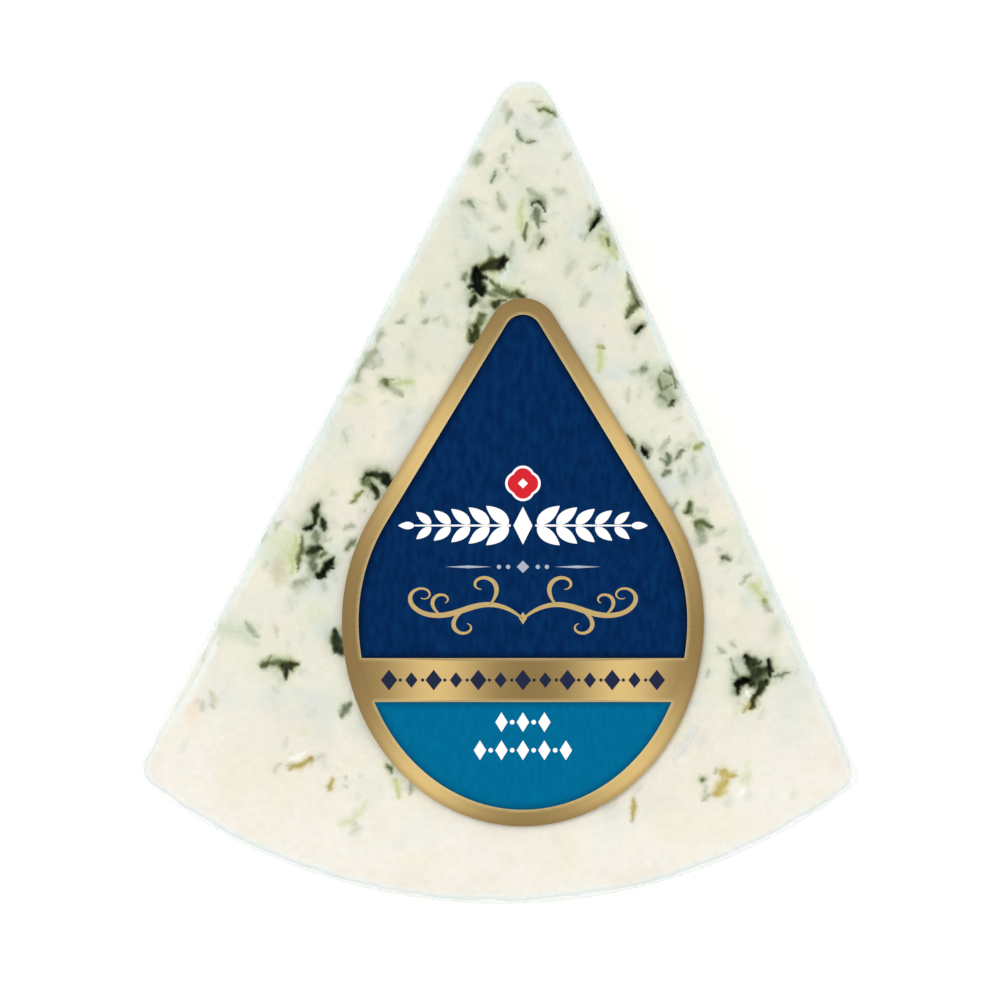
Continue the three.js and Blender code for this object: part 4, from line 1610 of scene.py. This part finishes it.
def garlandLoops():
    # pairs of leaves that get smaller along a stem to either side of a lozenge
    garland = prints["garland"]
    x, y = garland["at"]
    loops = [lozenge(x, y, *garland["middle"])]
    for side in (-1, 1):
        for order in range(garland["pairs"]):
            size = garland["firstLeaf"] - garland["shrink"] * order
            root = x + side * (garland["firstAt"] + garland["step"] * order)
            for lift in (-1, 1):
                lean = garland["lean"] * lift
                turn = lean if side > 0 else 180 - lean
                stalk = y + garland["offStem"] * lift
                loops.append(leaf(root, stalk, size, garland["slimness"] * size, turn))
        end = x + side * garland["endAt"]
        loops.append(leaf(end, y, *garland["endLeaf"], 0 if side > 0 else 180))
        start, half = garland["stemFrom"]
        start = x + side * start
        tail = garland["stemEnd"]
        loops.append(np.array([(start, y - half), (end, y - tail), (end, y + tail), (start, y + half)]))
    return loops


def rowLoops():
    # a lozenge with dots and a long dash to either side
    row = prints["row"]
    x, y = row["at"]
    loops = [lozenge(x, y, row["middle"], row["middle"])]
    for side in (-1, 1):
        loops += [dot(x + side * step, y, row["dot"]) for step in row["dots"]]
        loops.append(lozenge(x + side * row["dashAt"], y, *row["dash"]))
    return loops


def flourishLoops():
    # tapered strokes to either side of a lozenge
    flourish = prints["flourish"]
    x, y = flourish["at"]
    place, width, height = flourish["drop"]
    loops = [lozenge(x, y + place, width, height)]
    for side in (-1, 1):
        for stroke in flourish["strokes"]:
            loops.append(curl(*stroke) * np.array(flourish["scale"]) * (side, 1) + (x, y))
    return loops


def bandLoops():
    # big and small lozenges by turns along the foil band, with a dot between each two
    band = prints["band"]
    y = (label["bandTop"] + label["bandBottom"]) / 2
    loops = []
    for order in range(-band["half"], band["half"] + 1):
        size = band["small"] if order % 2 else band["big"]
        loops.append(lozenge(band["step"] * order, y, *size))
        if order < band["half"]:
            loops.append(dot(band["step"] * order + band["step"] / 2, y, band["dot"]))
    return loops


def tealLoops():
    # two rows of lozenges with dots between them
    teal = prints["teal"]
    step = teal["step"]
    loops = []
    for level, half in teal["rows"]:
        loops += [lozenge(step * order, level, *teal["size"]) for order in range(-half, half + 1)]
        loops += [dot(step * order + step / 2, level, teal["dot"]) for order in range(-half, half)]
    return loops


def printPiece(name, loops, floor, material):
    # separate loops of ink, each a hair thicker than the one before so that no two tops meet
    plates = []
    for order, loop in enumerate(loops):
        loop = loop if signedArea(loop) > 0 else loop[::-1]
        top = floor + prints["ink"] + prints["apart"] * order
        plates.append(plate([loop + labelCentre], floor - prints["sunk"], top))
    corners, faces = joinPlates(plates)
    piece = makePiece(name, corners, faces, material)
    shadeFlat(piece)
    return piece


def makeFoil(upper, lower, top):
    # the foil frame and band round the two fields
    rim = dropOutline(0, label["spacing"])
    loops = [rim, upper, lower]
    inner = innerPoints(loops, label["foilSpacing"], label["foilMargin"])
    corners, faces = plate(loops, 0, top, inner)
    foil = makePiece("labelFoil", corners, faces, foilMaterial(), foilPaint(corners[:, :2]))
    softenEdges(foil, label["stampedEdge"])
    shadeFlat(foil)
    return foil


def makeField(name, loop, paper):
    inner = innerPoints([loop], label["fieldSpacing"], label["fieldMargin"])
    corners, faces = plate([loop], label["fieldLow"], label["base"], inner)
    shade = label["fieldShade"] * ease(label["shadeReach"], 0, depthInside(corners[:, :2], [loop]))
    field = makePiece(name, corners, faces, paper, {"shade": shade})
    shadeFlat(field)
    return field


def makeLabel():
    base = label["base"]
    top = base + label["foilRise"]
    upper = fieldLoop("upper", label["frameWidth"])
    lower = fieldLoop("lower", label["frameWidth"])
    pieces = [makeFoil(upper, lower, top)]
    navyPaper = fibrePaperMaterial("paperNavyCoated", "03224e", "06305f", "01102b", fibre=0.8, depth=0.25)
    tealPaper = fibrePaperMaterial("paperTealCoated", "00658e", "006c96", "014f72", fibre=0.6, depth=0.1)
    pieces.append(makeField("labelNavyField", upper, navyPaper))
    pieces.append(makeField("labelTealField", lower, tealPaper))

    white = inkMaterial("inkWhiteScreenPrinted", "fbfbfb")
    red = inkMaterial("inkRedScreenPrinted", "d5202c")
    grey = inkMaterial("inkPaleGreyScreenPrinted", "a9b3c0")
    navy = inkMaterial("inkNavyScreenPrinted", "1b2340")
    gold = inkMaterial("inkGoldScreenPrinted", "c8ad73", 0.2)
    flower = prints["rosette"]
    place = flower["at"]
    heart = flower["heart"]
    step = flower["step"]
    pieces += [
        printPiece("printRosetteRim", [rosette(*place, *flower["rim"])], base, white),
        printPiece("printRosette", [rosette(*place, *flower["petals"])], base + step, red),
        printPiece("printRosetteHeart", [lozenge(*place, heart, heart)], base + 2 * step, white),
        printPiece("printGarland", garlandLoops(), base, white),
        printPiece("printRow", rowLoops(), base, grey),
        printPiece("printFlourish", flourishLoops(), base, gold),
        printPiece("printBandRow", bandLoops(), top, navy),
        printPiece("printTealRows", tealLoops(), base, white),
    ]
    print("label:", len(pieces), "pieces")
    return pieces


def makeFloor():
    # light table of frosted opal acrylic: lit from below, so that shadows on it stay faint
    material = newMaterial("acrylicOpalFrosted")
    shader = addNode(material, "BsdfPrincipled", {
        "Base Color": linearColour("fdfdfd"),
        "Roughness": 0.9,
        "Specular IOR Level": 0.1,
        "Emission Color": linearColour("ffffff"),
        "Emission Strength": 0.2,
    })
    addNode(material, "OutputMaterial", links={"Surface": shader.outputs["BSDF"]})
    side = 900
    corners = [(-side, -side, 0), (side, -side, 0), (side, side, 0), (-side, side, 0)]
    makePiece("floor", corners, [(0, 1, 2, 3)], material)


studio = {
    "lights": [
        # name, place in mm, side of the softbox in mm, power in W
        ("key", (-330, 330, 1000), 500, 3.0),
        ("fillRight", (1000, 250, 900), 700, 1.4),
        ("fillFront", (-100, -1050, 900), 700, 1.4),
    ],
    "world": 0.78,
    "cameraHeight": 900,  # above the veined face
    "lens": 267.6,
    "aim": (0.18, -1.09),
}


def makeStudio():
    scene = bpy.context.scene
    scene.view_settings.view_transform = "Standard"
    world = bpy.data.worlds.new("studioWhite")
    world.use_nodes = True
    backdrop = world.node_tree.nodes["Background"]
    backdrop.inputs["Color"].default_value = (1, 1, 1, 1)
    backdrop.inputs["Strength"].default_value = studio["world"]
    scene.world = world
    for name, place, side, power in studio["lights"]:
        light = bpy.data.lights.new(name, "AREA")
        light.size = side * mm
        light.energy = power
        lamp = bpy.data.objects.new(name, light)
        lamp.location = Vector(place) * mm
        lamp.rotation_euler = (-lamp.location).to_track_quat("-Z", "Y").to_euler()
        scene.collection.objects.link(lamp)
    lens = bpy.data.cameras.new("camera")
    lens.lens = studio["lens"]
    lens.clip_end = 20
    camera = bpy.data.objects.new("camera", lens)
    height = wedge["thickness"] + studio["cameraHeight"]
    camera.location = Vector((*studio["aim"], height)) * mm
    scene.collection.objects.link(camera)
    scene.camera = camera


makeStudio()
makeFloor()
cheesePiece = makeCheese()
filmPiece = makeFilm()
for piece, slot in ((cheesePiece, "veined_paste"), (filmPiece, "clear_film")):
    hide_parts("cheese_wedge")
    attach(piece, "root")
for piece in makeLabel():
    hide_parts("label")
    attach(piece, "root")
print("all pieces ride on the wedge")
